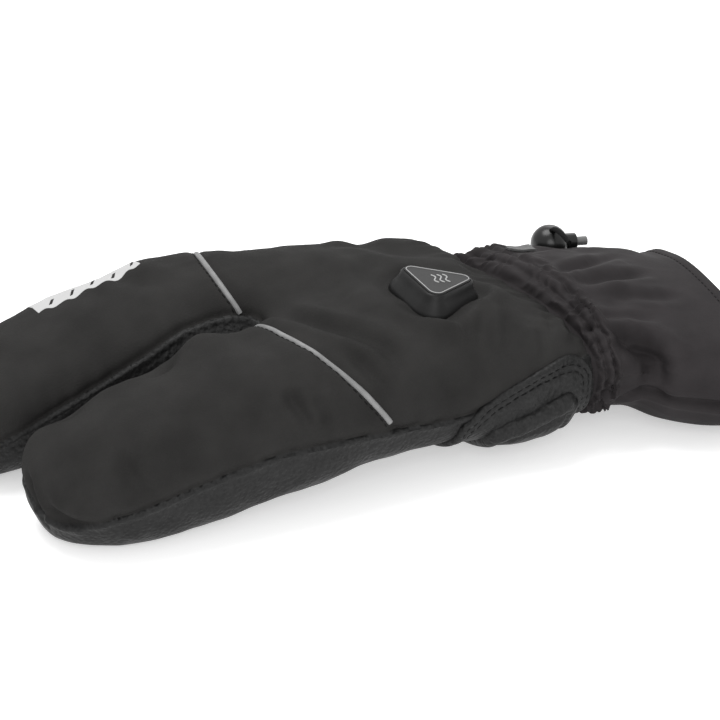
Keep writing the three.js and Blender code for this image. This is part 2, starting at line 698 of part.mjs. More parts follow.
// The layer from one rise over the glove to another, inside a side outline
function heelLayer(outline, from, to) {
  const layer = gloveForm(-to, heelReach).subtract(gloveForm(-from, heelReach + pieceGap));
  return layer.subtract(gloveForm(-from, 0)).intersect(sidePrism(outline, -far, heelTo));
}
const patchTop = pieceGap + heelPatchThickness;
const cushionFoot = patchTop + pieceGap;
const cushionTop = cushionFoot + heelCushionThickness;
addPiece("heel_patch", heelLayer(heelPatchOutline, pieceGap, patchTop), leather);
addPiece("heel_cushion", heelLayer(heelCushionOutline, cushionFoot, cushionTop), leather);

// Gathered wrist and gauntlet, with the gauntlet's hem turned in at the mouth

const openEnds = { openFirst: gatherWall, openLast: gatherWall };
const gatherInside = softForm(gatherSizes, { ...gatherInsideFacets, inset: gatherWall, ...openEnds });
const overGather = (rise) => solidOf(softForm(gatherSizes, { ...gatherFacets, inset: -rise }));
const gather = overGather(0).subtract(solidOf(gatherInside));

const gauntletX = gatherSizes.at(-1).x + pieceGap;
const gauntletSizes = [
  { ...gatherSizes.at(-1), x: gauntletX, pleat: 0 },
  ...sized(gauntletRows, gauntletX, gauntletLength, mouthWidth, mouthThickness),
];

function gauntletForm(inset, open) {
  return solidOf(softForm(gauntletSizes, { ...gauntletFacets, inset, openFirst: open, openLast: open }));
}

const mouthX = gauntletX + gauntletLength;
const beforeHem = new THREE.BoxGeometry(2 * gauntletLength, 3 * mouthWidth, 4 * mouthThickness);
beforeHem.translate(mouthX - hemWidth - gauntletLength, 0, 0);
const gauntlet = gauntletForm(0, 0)
  .subtract(gauntletForm(gauntletWall + hemThickening, gauntletWall))
  .subtract(gauntletForm(gauntletWall, gauntletWall).intersect(solidOf(beforeHem)));
addPiece("wrist_gather", gather, cuffFabric);
addPiece("gauntlet", gauntlet, cuffFabric);

// Cord lock on the drawcord, at the end of the gathers

const lockRow = gatherSizes.at(-1);
const lockTurn = THREE.MathUtils.degToRad(lockAngle);
const lockFoot = sectionPoint(lockRow, lockTurn, 0, 0);
const besideFoot = THREE.MathUtils.degToRad(3);
const lockAcross = sectionPoint(lockRow, lockTurn + besideFoot, 0, 0)
  .sub(sectionPoint(lockRow, lockTurn - besideFoot, 0, 0))
  .normalize();
const lockAway = new THREE.Vector3(1, 0, 0).cross(lockAcross).normalize();
if (lockAway.z < 0) lockAway.negate();
const lockCentre = lockFoot.clone().addScaledVector(lockAway, lockRadius + lockStandOff);
const lockLean = THREE.MathUtils.degToRad(lockLeanAngle);
const lockAxis = new THREE.Vector3()
  .crossVectors(lockAcross, lockAway)
  .multiplyScalar(-Math.cos(lockLean));
if (lockAxis.x < 0) lockAxis.negate();
lockAxis.addScaledVector(lockAway, -Math.sin(lockLean)).normalize();
const lockUp = new THREE.Vector3().crossVectors(lockAcross, lockAxis).normalize();
const lockFrame = new THREE.Matrix4().makeBasis(lockAcross, lockUp, lockAxis).setPosition(lockCentre);
if (lockFrame.determinant() < 0)
  lockFrame.makeBasis(lockAcross.clone().negate(), lockUp, lockAxis).setPosition(lockCentre);

// A solid of revolution about the lock's axis, from rows of distance along it and radius.
function turned(rows, segments) {
  const profile = rows.map(([along, radius]) => new THREE.Vector2(radius, along));
  const geometry = new THREE.LatheGeometry(profile, segments);
  return solidOf(geometry.applyMatrix4(new THREE.Matrix4().makeRotationX(Math.PI / 2)));
}

function rodAcross(radius, halfLength, fromAlong, toAlong) {
  const slot = new THREE.BoxGeometry(2 * halfLength, 2 * radius, toAlong - fromAlong);
  slot.translate(0, 0, (fromAlong + toAlong) / 2);
  return solidOf(slot);
}

const cordHole = drawcordRadius + cordClearance;
const slotTo = cordHole + plungerTravel;
const pistonFrom = -cordHole - pistonHead;
const pistonTo = slotTo + pistonShoulder;
const chamberFrom = pistonFrom - plungerTravel - slideClearance;
const chamberTo = pistonTo + slideClearance;
const collarTo = lockRadius + collarLength;
const ballProfile = [[-lockRadius, 0]];
const ballRings = 8;
for (let k = 1; k < ballRings - 1; k++) {
  const turn = (k / ballRings) * Math.PI;
  ballProfile.push([-lockRadius * Math.cos(turn), lockRadius * Math.sin(turn)]);
}
ballProfile.push([lockRadius * Math.cos(Math.asin(collarRadius / lockRadius)), collarRadius]);
ballProfile.push([collarTo - lockChamfer, collarRadius]);
ballProfile.push([collarTo, collarRadius - lockChamfer], [collarTo, 0]);
const chamberProfile = [
  [chamberFrom, 0],
  [chamberFrom, pistonRadius + slideClearance],
  [chamberTo, pistonRadius + slideClearance],
  [chamberTo, stemRadius + slideClearance],
  [collarTo + stemOut, stemRadius + slideClearance],
  [collarTo + stemOut, 0],
];
const plungerProfile = [
  [pistonFrom, 0],
  [pistonFrom, pistonRadius],
  [pistonTo, pistonRadius],
  [pistonTo, stemRadius],
  [collarTo + stemOut - lockChamfer, stemRadius],
  [collarTo + stemOut, stemRadius - lockChamfer],
  [collarTo + stemOut, 0],
];
const place = (solid) => solidOf(geometryOf(solid).applyMatrix4(lockFrame));
const lockBody = turned(ballProfile, lockFacets)
  .subtract(turned(chamberProfile, lockFacets))
  .subtract(rodAcross(cordHole, 2 * lockRadius, -cordHole, cordHole));
const plunger = turned(plungerProfile, lockFacets).subtract(
  rodAcross(cordHole, 2 * lockRadius, -cordHole, slotTo),
);
addPiece("cord_lock", place(lockBody), plastic);
addPiece("cord_lock_plunger", place(plunger), plastic);

const cordPoints = cordRows.map(({ across, away }) =>
  lockCentre
    .clone()
    .addScaledVector(lockAcross, across * lockRadius)
    .addScaledVector(lockAway, away * lockRadius),
);
const cordCurve = new THREE.CatmullRomCurve3(cordPoints, false, "centripetal");
const cordBarrier = overGather(pieceGap).add(gauntletForm(-pieceGap, pieceGap));
addPiece("drawcord", tube(cordCurve, drawcordRadius, cordFacets).subtract(cordBarrier), cordBraid);

// Webbing tab that lies on the gathers beside the lock

const tabBox = new THREE.BoxGeometry(tabLength, tabWidth, wristThickness);
const tabX = gatherSizes[0].x + tabPlace.along * gatherLength;
tabBox.translate(tabX, tabPlace.side * wristWidth, wristThickness);
const tabSkin = overGather(pieceGap + tabThickness).subtract(overGather(pieceGap));
addPiece("cord_tab", tabSkin.intersect(solidOf(tabBox)), cordBraid);

// The glove stands with the middle of its underside on the origin.
const bounds = new THREE.Box3().setFromObject(glove);
const middle = bounds.getCenter(new THREE.Vector3());
glove.position.set(-middle.x, -middle.y, -bounds.min.z);

export default glove;
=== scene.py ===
# The left-hand split-finger heated glove, lying palm down on a pale floor.
# Forms are worked out in millimetres in the glove's own frame: x = 0 at the wrist, y = 0 at the slit
# between the finger compartments, z = 0 on the floor. The fingers point to -X and the thumb to +Y.
import json
import math

import bpy
import numpy as np
from mathutils import Matrix, Vector, noise
from mathutils.bvhtree import BVHTree


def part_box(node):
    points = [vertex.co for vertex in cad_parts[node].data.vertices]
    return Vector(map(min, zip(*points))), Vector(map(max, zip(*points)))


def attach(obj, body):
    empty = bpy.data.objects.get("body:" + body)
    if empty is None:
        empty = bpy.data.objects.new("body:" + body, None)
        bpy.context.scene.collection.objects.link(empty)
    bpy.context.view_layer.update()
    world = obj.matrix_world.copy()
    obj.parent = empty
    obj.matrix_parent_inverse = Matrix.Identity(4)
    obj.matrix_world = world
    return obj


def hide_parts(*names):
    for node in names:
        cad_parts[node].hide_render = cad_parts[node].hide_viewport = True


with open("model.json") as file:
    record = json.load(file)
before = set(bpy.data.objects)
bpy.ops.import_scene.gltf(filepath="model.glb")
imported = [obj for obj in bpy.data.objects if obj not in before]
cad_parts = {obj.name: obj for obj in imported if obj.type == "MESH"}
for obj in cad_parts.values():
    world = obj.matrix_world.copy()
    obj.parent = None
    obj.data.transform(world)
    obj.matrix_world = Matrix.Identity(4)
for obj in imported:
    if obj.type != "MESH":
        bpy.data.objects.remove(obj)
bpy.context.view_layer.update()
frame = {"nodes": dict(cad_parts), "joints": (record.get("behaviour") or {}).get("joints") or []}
MM = 0.001

# Hand, compartments and thumb
HAND_LENGTH = 98
HAND_WIDTH = 138
HAND_THICKNESS = 60
OUTER_FINGER_LENGTH = 104
INNER_FINGER_LENGTH = 128
FINGER_WIDTH = 71
FINGER_THICKNESS = 58
THUMB_LENGTH = 103
THUMB_WIDTH = 38
THUMB_THICKNESS = 31
THUMB_ANGLE = 33
THUMB_ROOT = {"along": 0.28, "side": 0.25}
HAND_ROUND = 0.77
FINGER_ROUND = 0.86
WRIST_X = 4.9
CROTCH_X = -HAND_LENGTH

# Cuff
GATHER_LENGTH = 36
WRIST_WIDTH = 98
WRIST_THICKNESS = 52
GAUNTLET_LENGTH = 41
MOUTH_WIDTH = 136
MOUTH_THICKNESS = 50
CUFF_WALL = 1.68
HEM_WIDTH = 4

# Walls and trim
SHELL_WALL = 2.6
PIPING_RADIUS = 1.2
PIPING_SUNK = 0.15
PIECE_GAP = 0.3
FLOOR_GAP = 0.05

# Heat control
CONTROL_BASE = 31
CONTROL_DEPTH = 27
CONTROL_HEIGHT = 7.5
CONTROL_FLARE = 4.5
CONTROL_SUNK = 2.5
CONTROL_CORNER = 3.6
PLATE_PROUD = 0.5

# Cord lock
LOCK_RADIUS = 7.9
COLLAR_RADIUS = 3.7
COLLAR_LENGTH = 3.6
STEM_RADIUS = 1.95
STEM_OUT = 5
DRAWCORD_RADIUS = 1.1

# The glove's own frame stands this far from the model's origin.
INNER_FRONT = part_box("finger_front_inner")[0] / MM
SHIFT = Vector((INNER_FRONT.x + HAND_LENGTH + INNER_FINGER_LENGTH, INNER_FRONT.y - PIECE_GAP / 2, 0))

VOXEL = 1.05


def table(names, rows):
    return {name: np.array([row[i] for row in rows], float) for i, name in enumerate(names.split())}


HAND_ROWS = table("along mid wide level up down dip dip_at", [
    (0.12, -0.078, 0.4, 0.54, 0.45, 0.47, 0.1, -0.1),
    (0.35, -0.052, 0.42, 0.54, 0.51, 0.44, 0.08, -0.12),
    (0.55, -0.036, 0.445, 0.53, 0.54, 0.43, 0.06, -0.08),
    (0.76, -0.014, 0.468, 0.54, 0.52, 0.45, 0.09, -0.02),
    (0.95, 0.009, 0.483, 0.53, 0.49, 0.46, 0.15, 0.01),
    (1.01, 0.007, 0.44, 0.52, 0.37, 0.36, 0.15, 0.01),
    (1.05, 0.007, 0.3, 0.5, 0.15, 0.15, 0.05, 0.01),
])
DIP_HALF = 0.14

OUTER_FINGER_ROWS = table("along mid wide level up down", [
    (-0.22, -0.46, 0.4, 0.53, 0.4, 0.36),
    (-0.02, -0.475, 0.475, 0.54, 0.5, 0.46),
    (0.16, -0.475, 0.465, 0.53, 0.5, 0.5),
    (0.34, -0.482, 0.448, 0.49, 0.5, 0.52),
    (0.53, -0.49, 0.425, 0.44, 0.46, 0.48),
    (0.72, -0.495, 0.395, 0.4, 0.42, 0.44),
    (0.86, -0.465, 0.335, 0.36, 0.35, 0.38),
    (0.95, -0.425, 0.23, 0.32, 0.25, 0.28),
    (1, -0.4, 0.09, 0.31, 0.1, 0.11),
])
INNER_FINGER_ROWS = table("along mid wide level up down", [
    (-0.19, 0.46, 0.38, 0.53, 0.42, 0.36),
    (-0.02, 0.475, 0.47, 0.55, 0.52, 0.47),
    (0.14, 0.525, 0.485, 0.53, 0.5, 0.51),
    (0.3, 0.55, 0.48, 0.5, 0.48, 0.53),
    (0.46, 0.55, 0.47, 0.46, 0.45, 0.5),
    (0.62, 0.52, 0.45, 0.42, 0.41, 0.46),
    (0.78, 0.46, 0.4, 0.38, 0.36, 0.41),
    (0.9, 0.41, 0.32, 0.34, 0.3, 0.36),
    (0.97, 0.38, 0.2, 0.31, 0.19, 0.26),
    (1, 0.37, 0.08, 0.29, 0.08, 0.11),
])
THUMB_ROWS = table("along mid wide level up down", [
    (0, -0.05, 0.36, 0.66, 0.36, 0.36),
    (0.3, 0.02, 0.47, 0.56, 0.46, 0.46),
    (0.56, 0.04, 0.5, 0.5, 0.5, 0.52),
    (0.78, 0.02, 0.46, 0.48, 0.46, 0.5),
    (0.92, -0.02, 0.34, 0.45, 0.34, 0.42),
    (0.98, -0.04, 0.2, 0.42, 0.2, 0.28),
    (1, -0.05, 0.08, 0.42, 0.08, 0.1),
])
GATHER_ROWS = table("along mid wide level up down slant", [
    (0, -0.153, 0.5, 0.6, 0.37, 0.49, -0.19),
    (0.16, -0.165, 0.5, 0.6, 0.46, 0.5, -0.14),
    (0.36, -0.18, 0.495, 0.6, 0.48, 0.5, -0.07),
    (0.56, -0.2, 0.485, 0.6, 0.47, 0.5, 0.01),
    (0.76, -0.215, 0.48, 0.59, 0.45, 0.5, 0.09),
    (1, -0.23, 0.48, 0.58, 0.44, 0.52, 0.15),
])
GAUNTLET_ROWS = table("along mid wide level up down slant", [
    (0.2, -0.185, 0.39, 0.55, 0.47, 0.55, 0.15),
    (0.5, -0.226, 0.409, 0.51, 0.45, 0.55, 0.15),
    (0.78, -0.255, 0.425, 0.49, 0.44, 0.53, 0.15),
    (1, -0.267, 0.436, 0.48, 0.44, 0.52, 0.15),
])
SEAM_ROWS = table("along outer between", [
    (-1.4, 0.1, 0.16),
    (-1, 0.15, 0.24),
    (-0.8, 0.19, 0.36),
    (-0.65, 0.3, 0.47),
    (-0.5, 0.39, 0.58),
    (-0.35, 0.47, 0.7),
    (-0.2, 0.53, 0.82),
    (0, 0.54, 0.84),
    (0.2, 0.52, 0.5),
    (0.6, 0.48, 0.48),
    (0.8, 0.56, 0.5),
    (1, 0.65, 0.5),
    (1.4, 0.7, 0.5),
])
SEAM_BETWEEN_HALF = 0.26
HEEL_PATCH = [(-0.47, -0.3), (-0.47, 0.32), (-0.41, 0.46), (-0.3, 0.58), (-0.16, 0.67),
              (-0.03, 0.71), (0.06, 0.69), (0.115, 0.6), (0.12, 0.48), (0.1, -0.3)]
HEEL_CUSHION = [(-0.33, -0.3), (-0.33, 0.24), (-0.28, 0.35), (-0.17, 0.42), (-0.01, 0.5),
                (0.035, 0.44), (0.05, 0.36), (0.05, -0.3)]

# Each piping lies in a slanted plane through three points, and runs over an arc about its half of the hand.
PIPINGS = {
    "outer": {"points": [(-0.73, -0.45, 0.45), (-1.03, -0.25, 1.01), (-1.07, 0.035, 0.8)],
              "arc": (184, 32), "side": -0.25},
    "inner": {"points": [(-1.0, 0.46, 0.87), (-1.08, 0.2, 1.02), (-1.03, 0.09, 0.83)],
              "arc": (2, 144), "side": 0.26},
}


# Numbers to shapes

def own(places):
    """Places of the model, in metres, as the glove's own millimetres."""
    return np.array(places) / MM - np.array(SHIFT)


def unit(vectors):
    return vectors / np.maximum(np.linalg.norm(vectors, axis=-1, keepdims=True), 1e-12)


def spline(a, b, c, d, f):
    """A smooth value a share f of the way from b to c, between a and d."""
    return b + 0.5 * f * (c - a + f * (2 * a - 5 * b + 4 * c - d + f * (3 * (b - c) + d - a)))


def rows_at(columns, places):
    """Smooth rows between those of a table."""
    last = len(next(iter(columns.values()))) - 1
    k = np.minimum(places.astype(int), last - 1)
    around = [np.clip(k + step, 0, last) for step in (-1, 0, 1, 2)]
    return {name: spline(*(column[i] for i in around), places - k) for name, column in columns.items()}


def column_at(columns, along, name):
    base = columns["along"]
    return rows_at(columns, np.interp(along, base, np.arange(len(base))))[name]


def sized(columns, from_x, length, width, thickness, round_power=FINGER_ROUND):
    """A table of shares as sections in millimetres."""
    nothing = np.zeros(len(columns["along"]))
    units = dict.fromkeys(("mid", "wide", "dip_at"), width)
    units |= dict.fromkeys(("level", "up", "down", "dip"), thickness) | {"slant": 1}
    found = {name: columns.get(name, nothing) * size for name, size in units.items()}
    return found | {"x": from_x + columns["along"] * length, "round": nothing + round_power}


def power(value, exponent):
    return np.sign(value) * np.abs(value) ** exponent


def section_grid(columns, places, turns):
    """Points of the sections at the places: an array of rows by turns by 3."""
    size = {name: value[:, None] for name, value in rows_at(columns, places).items()}
    y = size["mid"] + size["wide"] * power(np.cos(turns)[None], size["round"])
    rise = power(np.sin(turns)[None], size["round"])
    half = np.where(rise > 0, size["up"], size["down"])
    pressed = size["dip"] * np.exp(-(((y - size["dip_at"]) / (DIP_HALF * HAND_WIDTH)) ** 2))
    z = size["level"] + half * rise - pressed * np.maximum(rise, 0)
    x = size["x"] + size["slant"] * (y - size["mid"])
    return np.stack([x + 0 * y, y, np.maximum(z, 0)], axis=-1)


def grid_faces(rows, count, close=True):
    i, j = np.meshgrid(np.arange(rows - 1), np.arange(count if close else count - 1), indexing="ij")
    a = (i * count + j).ravel()
    b = (i * count + (j + 1) % count).ravel()
    return np.concatenate([np.stack([a, b, b + count], 1), np.stack([a, b + count, a + count], 1)])


def capped_loft(grid):
    """A closed solid from rings of points, with a fan on each end."""
    rows, count = grid.shape[:2]
    points = np.concatenate([grid.reshape(-1, 3), [grid[0].mean(0), grid[-1].mean(0)]])
    ring = np.arange(count)
    after = (ring + 1) % count
    top = (rows - 1) * count
    first = np.stack([np.full(count, rows * count), after, ring], 1)
    last = np.stack([np.full(count, rows * count + 1), top + ring, top + after], 1)
    return points, outward(points, np.concatenate([grid_faces(rows, count), first, last]))


def outward(points, faces):
    a, b, c = (points[faces[:, k]] for k in range(3))
    volume = np.einsum("ij,ij->i", a, np.cross(b, c)).sum()
    return faces if volume > 0 else faces[:, ::-1]


def face_normals(points, faces):
    a, b, c = (points[faces[:, k]] for k in range(3))
    return np.cross(b - a, c - a)


def point_normals(points, faces):
    normals = np.zeros_like(points)
    each = face_normals(points, faces)
    for k in range(3):
        np.add.at(normals, faces[:, k], each)
    return unit(normals)


def face_edges(faces):
    return np.concatenate([faces[:, [0, 1]], faces[:, [1, 2]], faces[:, [2, 0]]])


def smoothed(values, faces, times):
    """Values at the points, each averaged with its neighbours."""
    edges = face_edges(faces)
    one, other = np.concatenate([edges, edges[:, ::-1]]).T
    count = len(values)
    degree = np.maximum(np.bincount(one, minlength=count), 1)[:, None]
    for _ in range(times):
        total = [np.bincount(one, weights=column[other], minlength=count) for column in values.T]
        values = 0.5 * values + 0.5 * np.stack(total, 1) / degree
    return values


def split(values, faces, field):
    """Cuts the faces along field = 0. Returns the values with new rows, and the faces on either side."""
    field = np.where(np.abs(field) < 1e-6, 1e-6, field)
    above = field > 0
    sides = above[faces].sum(1)
    high, low = [faces[sides == 3]], [faces[sides == 0]]
    cut = []
    for lone_above in (True, False):
        mixed_faces = faces[sides == (1 if lone_above else 2)]
        lone = np.argmax(above[mixed_faces] == lone_above, axis=1)
        turned = [(lone + k) % 3 for k in range(3)]
        cut.append([np.take_along_axis(mixed_faces, k[:, None], 1)[:, 0] for k in turned])
    keys = np.concatenate([np.sort(np.stack([a, end], 1), axis=1) for a, b, c in cut for end in (b, c)])
    if len(keys) == 0:
        return values, high[0], low[0]
    unique, back = np.unique(keys, axis=0, return_inverse=True)
    counts = [len(a) for a, _, _ in cut for _ in range(2)]
    new = np.split(len(values) + back.ravel(), np.cumsum(counts)[:-1])
    f0, f1 = field[unique[:, 0]], field[unique[:, 1]]
    share = (f0 / (f0 - f1))[:, None]
    values = np.concatenate([values, values[unique[:, 0]] * (1 - share) + values[unique[:, 1]] * share])
    for (a, b, c), ab, ac, tips, rests in zip(cut, new[::2], new[1::2], (high, low), (low, high)):
        tips.append(np.stack([a, ab, ac], 1))
        rests.append(np.concatenate([np.stack([ab, b, c], 1), np.stack([ab, c, ac], 1)]))
    return values, np.concatenate(high), np.concatenate(low)


def finer(values, faces):
    """Each face cut into four."""
    unique, back = np.unique(np.sort(face_edges(faces), axis=1), axis=0, return_inverse=True)
    ab, bc, ca = back.ravel().reshape(3, -1) + len(values)
    values = np.concatenate([values, (values[unique[:, 0]] + values[unique[:, 1]]) / 2])
    a, b, c = faces.T
    quarters = [(a, ab, ca), (b, bc, ab), (c, ca, bc), (ab, bc, ca)]
    return values, np.concatenate([np.stack(quarter, 1) for quarter in quarters])


def used(values, faces):
    keep, new = np.unique(faces, return_inverse=True)
    return values[keep], new.reshape(faces.shape)


def together(solids):
    """The points and faces of several solids as one set."""
    starts = np.cumsum([0] + [len(points) for points, _ in solids])
    faces = [some_faces + start for (_, some_faces), start in zip(solids, starts)]
    return np.concatenate([points for points, _ in solids]), np.concatenate(faces)


def mesh_object(name, points, faces):
    """A mesh piece from points in the glove's own millimetres."""
    mesh = bpy.data.meshes.new(name)
    placed = (points + np.array(SHIFT)) * MM
    mesh.from_pydata(placed.tolist(), [], faces.tolist())
    mesh.polygons.foreach_set("use_smooth", [True] * len(mesh.polygons))
    mesh.update()
    piece = bpy.data.objects.new(name, mesh)
    bpy.context.collection.objects.link(piece)
    return piece


def shell(name, top, bottom, faces):
    """A closed wall between two layers of the same faces."""
    both, faces = used(np.concatenate([top, bottom], 1), faces)
    count = len(both)
    edges = face_edges(faces)
    _, where, times = np.unique(np.sort(edges, axis=1), axis=0, return_index=True, return_counts=True)
    a, b = edges[where[times == 1]].T
    walls = [np.stack([b, a, a + count], 1), np.stack([b, a + count, b + count], 1)]
    every = np.concatenate([faces, faces[:, ::-1] + count, *walls])
    return mesh_object(name, np.concatenate([both[:, :3], both[:, 3:]]), every)


def noise_at(points, scale, seed=0.0):
    """Soft noise from -1 to 1. The scale gives the size of its lumps along each axis."""
    spots = points / np.array(scale) + seed
    return np.array([noise.noise(spot) for spot in spots.tolist()])


def bell(distance, width):
    return np.exp(-((distance / width) ** 2))


def ramp(value, start, end):
    t = np.clip((value - start) / (end - start), 0, 1)
    return t * t * (3 - 2 * t)


def route_distance(points, route):
    """The distance of each point from a route, and how far along it is, from 0 to 1."""
    route = np.array(route, float)
    steps = np.linalg.norm(np.diff(route, axis=0), axis=1)
    starts = np.concatenate([[0], np.cumsum(steps)])
    best = np.full(len(points), np.inf)
    along = np.zeros(len(points))
    for i, step in enumerate(steps):
        way = (route[i + 1] - route[i]) / step
        t = np.clip((points - route[i]) @ way, 0, step)
        distance = np.linalg.norm(points - route[i] - t[:, None] * way, axis=1)
        nearer = distance < best
        best[nearer] = distance[nearer]
        along[nearer] = (starts[i] + t[nearer]) / starts[-1]
    return best, along


def relief(points, folds, bulges, lip=0.45):
    """Folds pressed in along their routes, with soft lips and fading ends, and round bulges."""
    total = np.zeros(len(points))
    for width, depth, route in folds:
        distance, along = route_distance(points, route)
        fade = ramp(along, -0.02, 0.25) * ramp(1 - along, -0.02, 0.3)
        total += depth * fade * (lip * bell(distance - 2.1 * width, width) - bell(distance, width))
    for spot, rise, width in bulges:
        total += rise * bell(np.linalg.norm(points - spot, axis=1), width)
    return total


# The hand and the two finger compartments as one skin

GATHER = sized(GATHER_ROWS, WRIST_X + PIECE_GAP, GATHER_LENGTH, WRIST_WIDTH, WRIST_THICKNESS)
WRIST_ROW = {name: column[0] for name, column in GATHER.items()}
WRIST_SPARE = 7
WRIST_ENDS = {name: [value, value] for name, value in WRIST_ROW.items()}
WRIST_ENDS["x"] = [WRIST_X + WRIST_SPARE, WRIST_X]
HAND = sized(HAND_ROWS, 0, -HAND_LENGTH, HAND_WIDTH, HAND_THICKNESS, HAND_ROUND)
HAND = {name: np.concatenate([WRIST_ENDS[name], column]) for name, column in HAND.items()}
OUTER_FINGER = sized(OUTER_FINGER_ROWS, CROTCH_X, -OUTER_FINGER_LENGTH, FINGER_WIDTH, FINGER_THICKNESS)
INNER_FINGER = sized(INNER_FINGER_ROWS, CROTCH_X, -INNER_FINGER_LENGTH, FINGER_WIDTH, FINGER_THICKNESS)
THUMB = sized(THUMB_ROWS, 0, -THUMB_LENGTH, THUMB_WIDTH, THUMB_THICKNESS)


def dense(columns, steps, count):
    places = np.linspace(0, len(columns["x"]) - 1, steps)
    return section_grid(columns, places, np.linspace(0, 2 * np.pi, count, endpoint=False))


def remeshed(solids):
    """One closed skin round several solids."""
    raw = mesh_object("raw", *together(solids))
    remesh = raw.modifiers.new("remesh", "REMESH")
    remesh.mode = "VOXEL"
    remesh.voxel_size = VOXEL * MM
    evaluated = raw.evaluated_get(bpy.context.evaluated_depsgraph_get())
    mesh = evaluated.to_mesh()
    places = np.zeros(len(mesh.vertices) * 3)
    mesh.vertices.foreach_get("co", places)
    mesh.calc_loop_triangles()
    corners = np.zeros(len(mesh.loop_triangles) * 3, int)
    mesh.loop_triangles.foreach_get("vertices", corners)
    evaluated.to_mesh_clear()
    bpy.data.objects.remove(raw)
    return own(places.reshape(-1, 3)), corners.reshape(-1, 3)


def seam_height(x, y):
    length = np.where(x < CROTCH_X, INNER_FINGER_LENGTH, HAND_LENGTH)
    along = (x - CROTCH_X) / length
    outer = column_at(SEAM_ROWS, along, "outer")
    between = column_at(SEAM_ROWS, along, "between")
    share = np.exp(-((y / (SEAM_BETWEEN_HALF * HAND_WIDTH)) ** 4))
    return HAND_THICKNESS * (outer + (between - outer) * share)


def slanted_plane(points):
    a, b, c = (np.array(p) * (HAND_LENGTH, HAND_WIDTH, HAND_THICKNESS) for p in points)
    normal = unit(np.cross(b - a, c - a))
    normal = -normal if normal[0] > 0 else normal
    across = unit(np.cross((0, 0, 1), normal))
    upward = np.cross(normal, across)
    return {"point": a, "normal": normal, "across": across, "upward": upward * np.sign(upward[2])}


PLANES = {name: slanted_plane(piping["points"]) for name, piping in PIPINGS.items()}


def beyond(plane, points):
    return (points - plane["point"]) @ plane["normal"]


def above_seam(points):
    return points[:, 2] - seam_height(points[:, 0], points[:, 1])


def before_wrist(points):
    return WRIST_X + WRIST_ROW["slant"] * (points[:, 1] - WRIST_ROW["mid"]) - points[:, 0]


def along_surface(field, points, normals, step=0.5):
    """How far along the surface each point is from where the field is nothing."""
    value = field(points)
    slope = np.stack([field(points + way) - value for way in np.eye(3) * step], 1) / step
    slope -= (slope * normals).sum(1)[:, None] * normals
    return value / np.maximum(np.linalg.norm(slope, axis=1), 0.3)


# The frame of the heat control, from its plate

def mean_normal(faces):
    return sum((face.normal * face.area for face in faces), Vector()).normalized()


PLATE = frame["nodes"]["control_plate"].data
TOP_FACES = [face for face in PLATE.polygons if face.normal.z > 0.9]
ROUGHLY_UP = mean_normal(TOP_FACES)
CONTROL_UP = mean_normal([face for face in TOP_FACES if face.normal.dot(ROUGHLY_UP) > 0.99])
CONTROL_FORTH = (Vector((1, 0, 0)) - CONTROL_UP * CONTROL_UP.x).normalized()
CONTROL_AXES = np.array([CONTROL_FORTH, CONTROL_UP.cross(CONTROL_FORTH), CONTROL_UP])
PLATE_POINTS = own([vertex.co for vertex in PLATE.vertices]) @ CONTROL_AXES.T
PLATE_LOW, PLATE_HIGH = PLATE_POINTS.min(0), PLATE_POINTS.max(0)
PLATE_TOP = CONTROL_HEIGHT + PLATE_PROUD
CENTRE_ALONG = PLATE_LOW[0] + CONTROL_DEPTH / 3
CENTRE_ACROSS = (PLATE_LOW[1] + PLATE_HIGH[1]) / 2
CONTROL_CENTRE = np.array([CENTRE_ALONG, CENTRE_ACROSS, PLATE_HIGH[2] - PLATE_TOP]) @ CONTROL_AXES
CORNER_STEPS = 6
OUTLINE_COUNT = 3 * (CORNER_STEPS + 1)


def control_outline(grow, steps=CORNER_STEPS):
    """A triangle with round corners, its point to the wrist."""
    base_x = -CONTROL_DEPTH / 3
    corners = np.array([(base_x, -CONTROL_BASE / 2), (base_x + CONTROL_DEPTH, 0), (base_x, CONTROL_BASE / 2)])
    ring = []
    for i, corner in enumerate(corners):
        back, ahead = (unit(corners[(i + step) % 3] - corner) for step in (2, 1))
        half = math.acos(back @ ahead) / 2
        bisector = unit(back + ahead)
        centre = corner + bisector * CONTROL_CORNER / math.sin(half)
        start = math.atan2(-bisector[1], -bisector[0]) - (math.pi / 2 - half)
        for k in range(steps + 1):
            turn = start + k / steps * (math.pi - 2 * half)
            ring.append(centre + (CONTROL_CORNER + grow) * np.array((math.cos(turn), math.sin(turn))))
    return np.array(ring)


def inside_outline(points, outline):
    """The distance of each 2-D point inside a closed outline, negative outside it."""
    ahead = np.roll(outline, -1, axis=0)
    best = np.full(len(points), np.inf)
    inside = np.zeros(len(points), bool)
    for a, b in zip(outline, ahead):
        way = b - a
        t = np.clip((points - a) @ way / (way @ way), 0, 1)
        best = np.minimum(best, np.linalg.norm(points - a - t[:, None] * way, axis=1))
        crosses = (a[1] > points[:, 1]) != (b[1] > points[:, 1])
        with np.errstate(divide="ignore", invalid="ignore"):
            at = a[0] + (points[:, 1] - a[1]) * way[0] / way[1]
        inside ^= crosses & (points[:, 0] < at)
    return np.where(inside, best, -best)


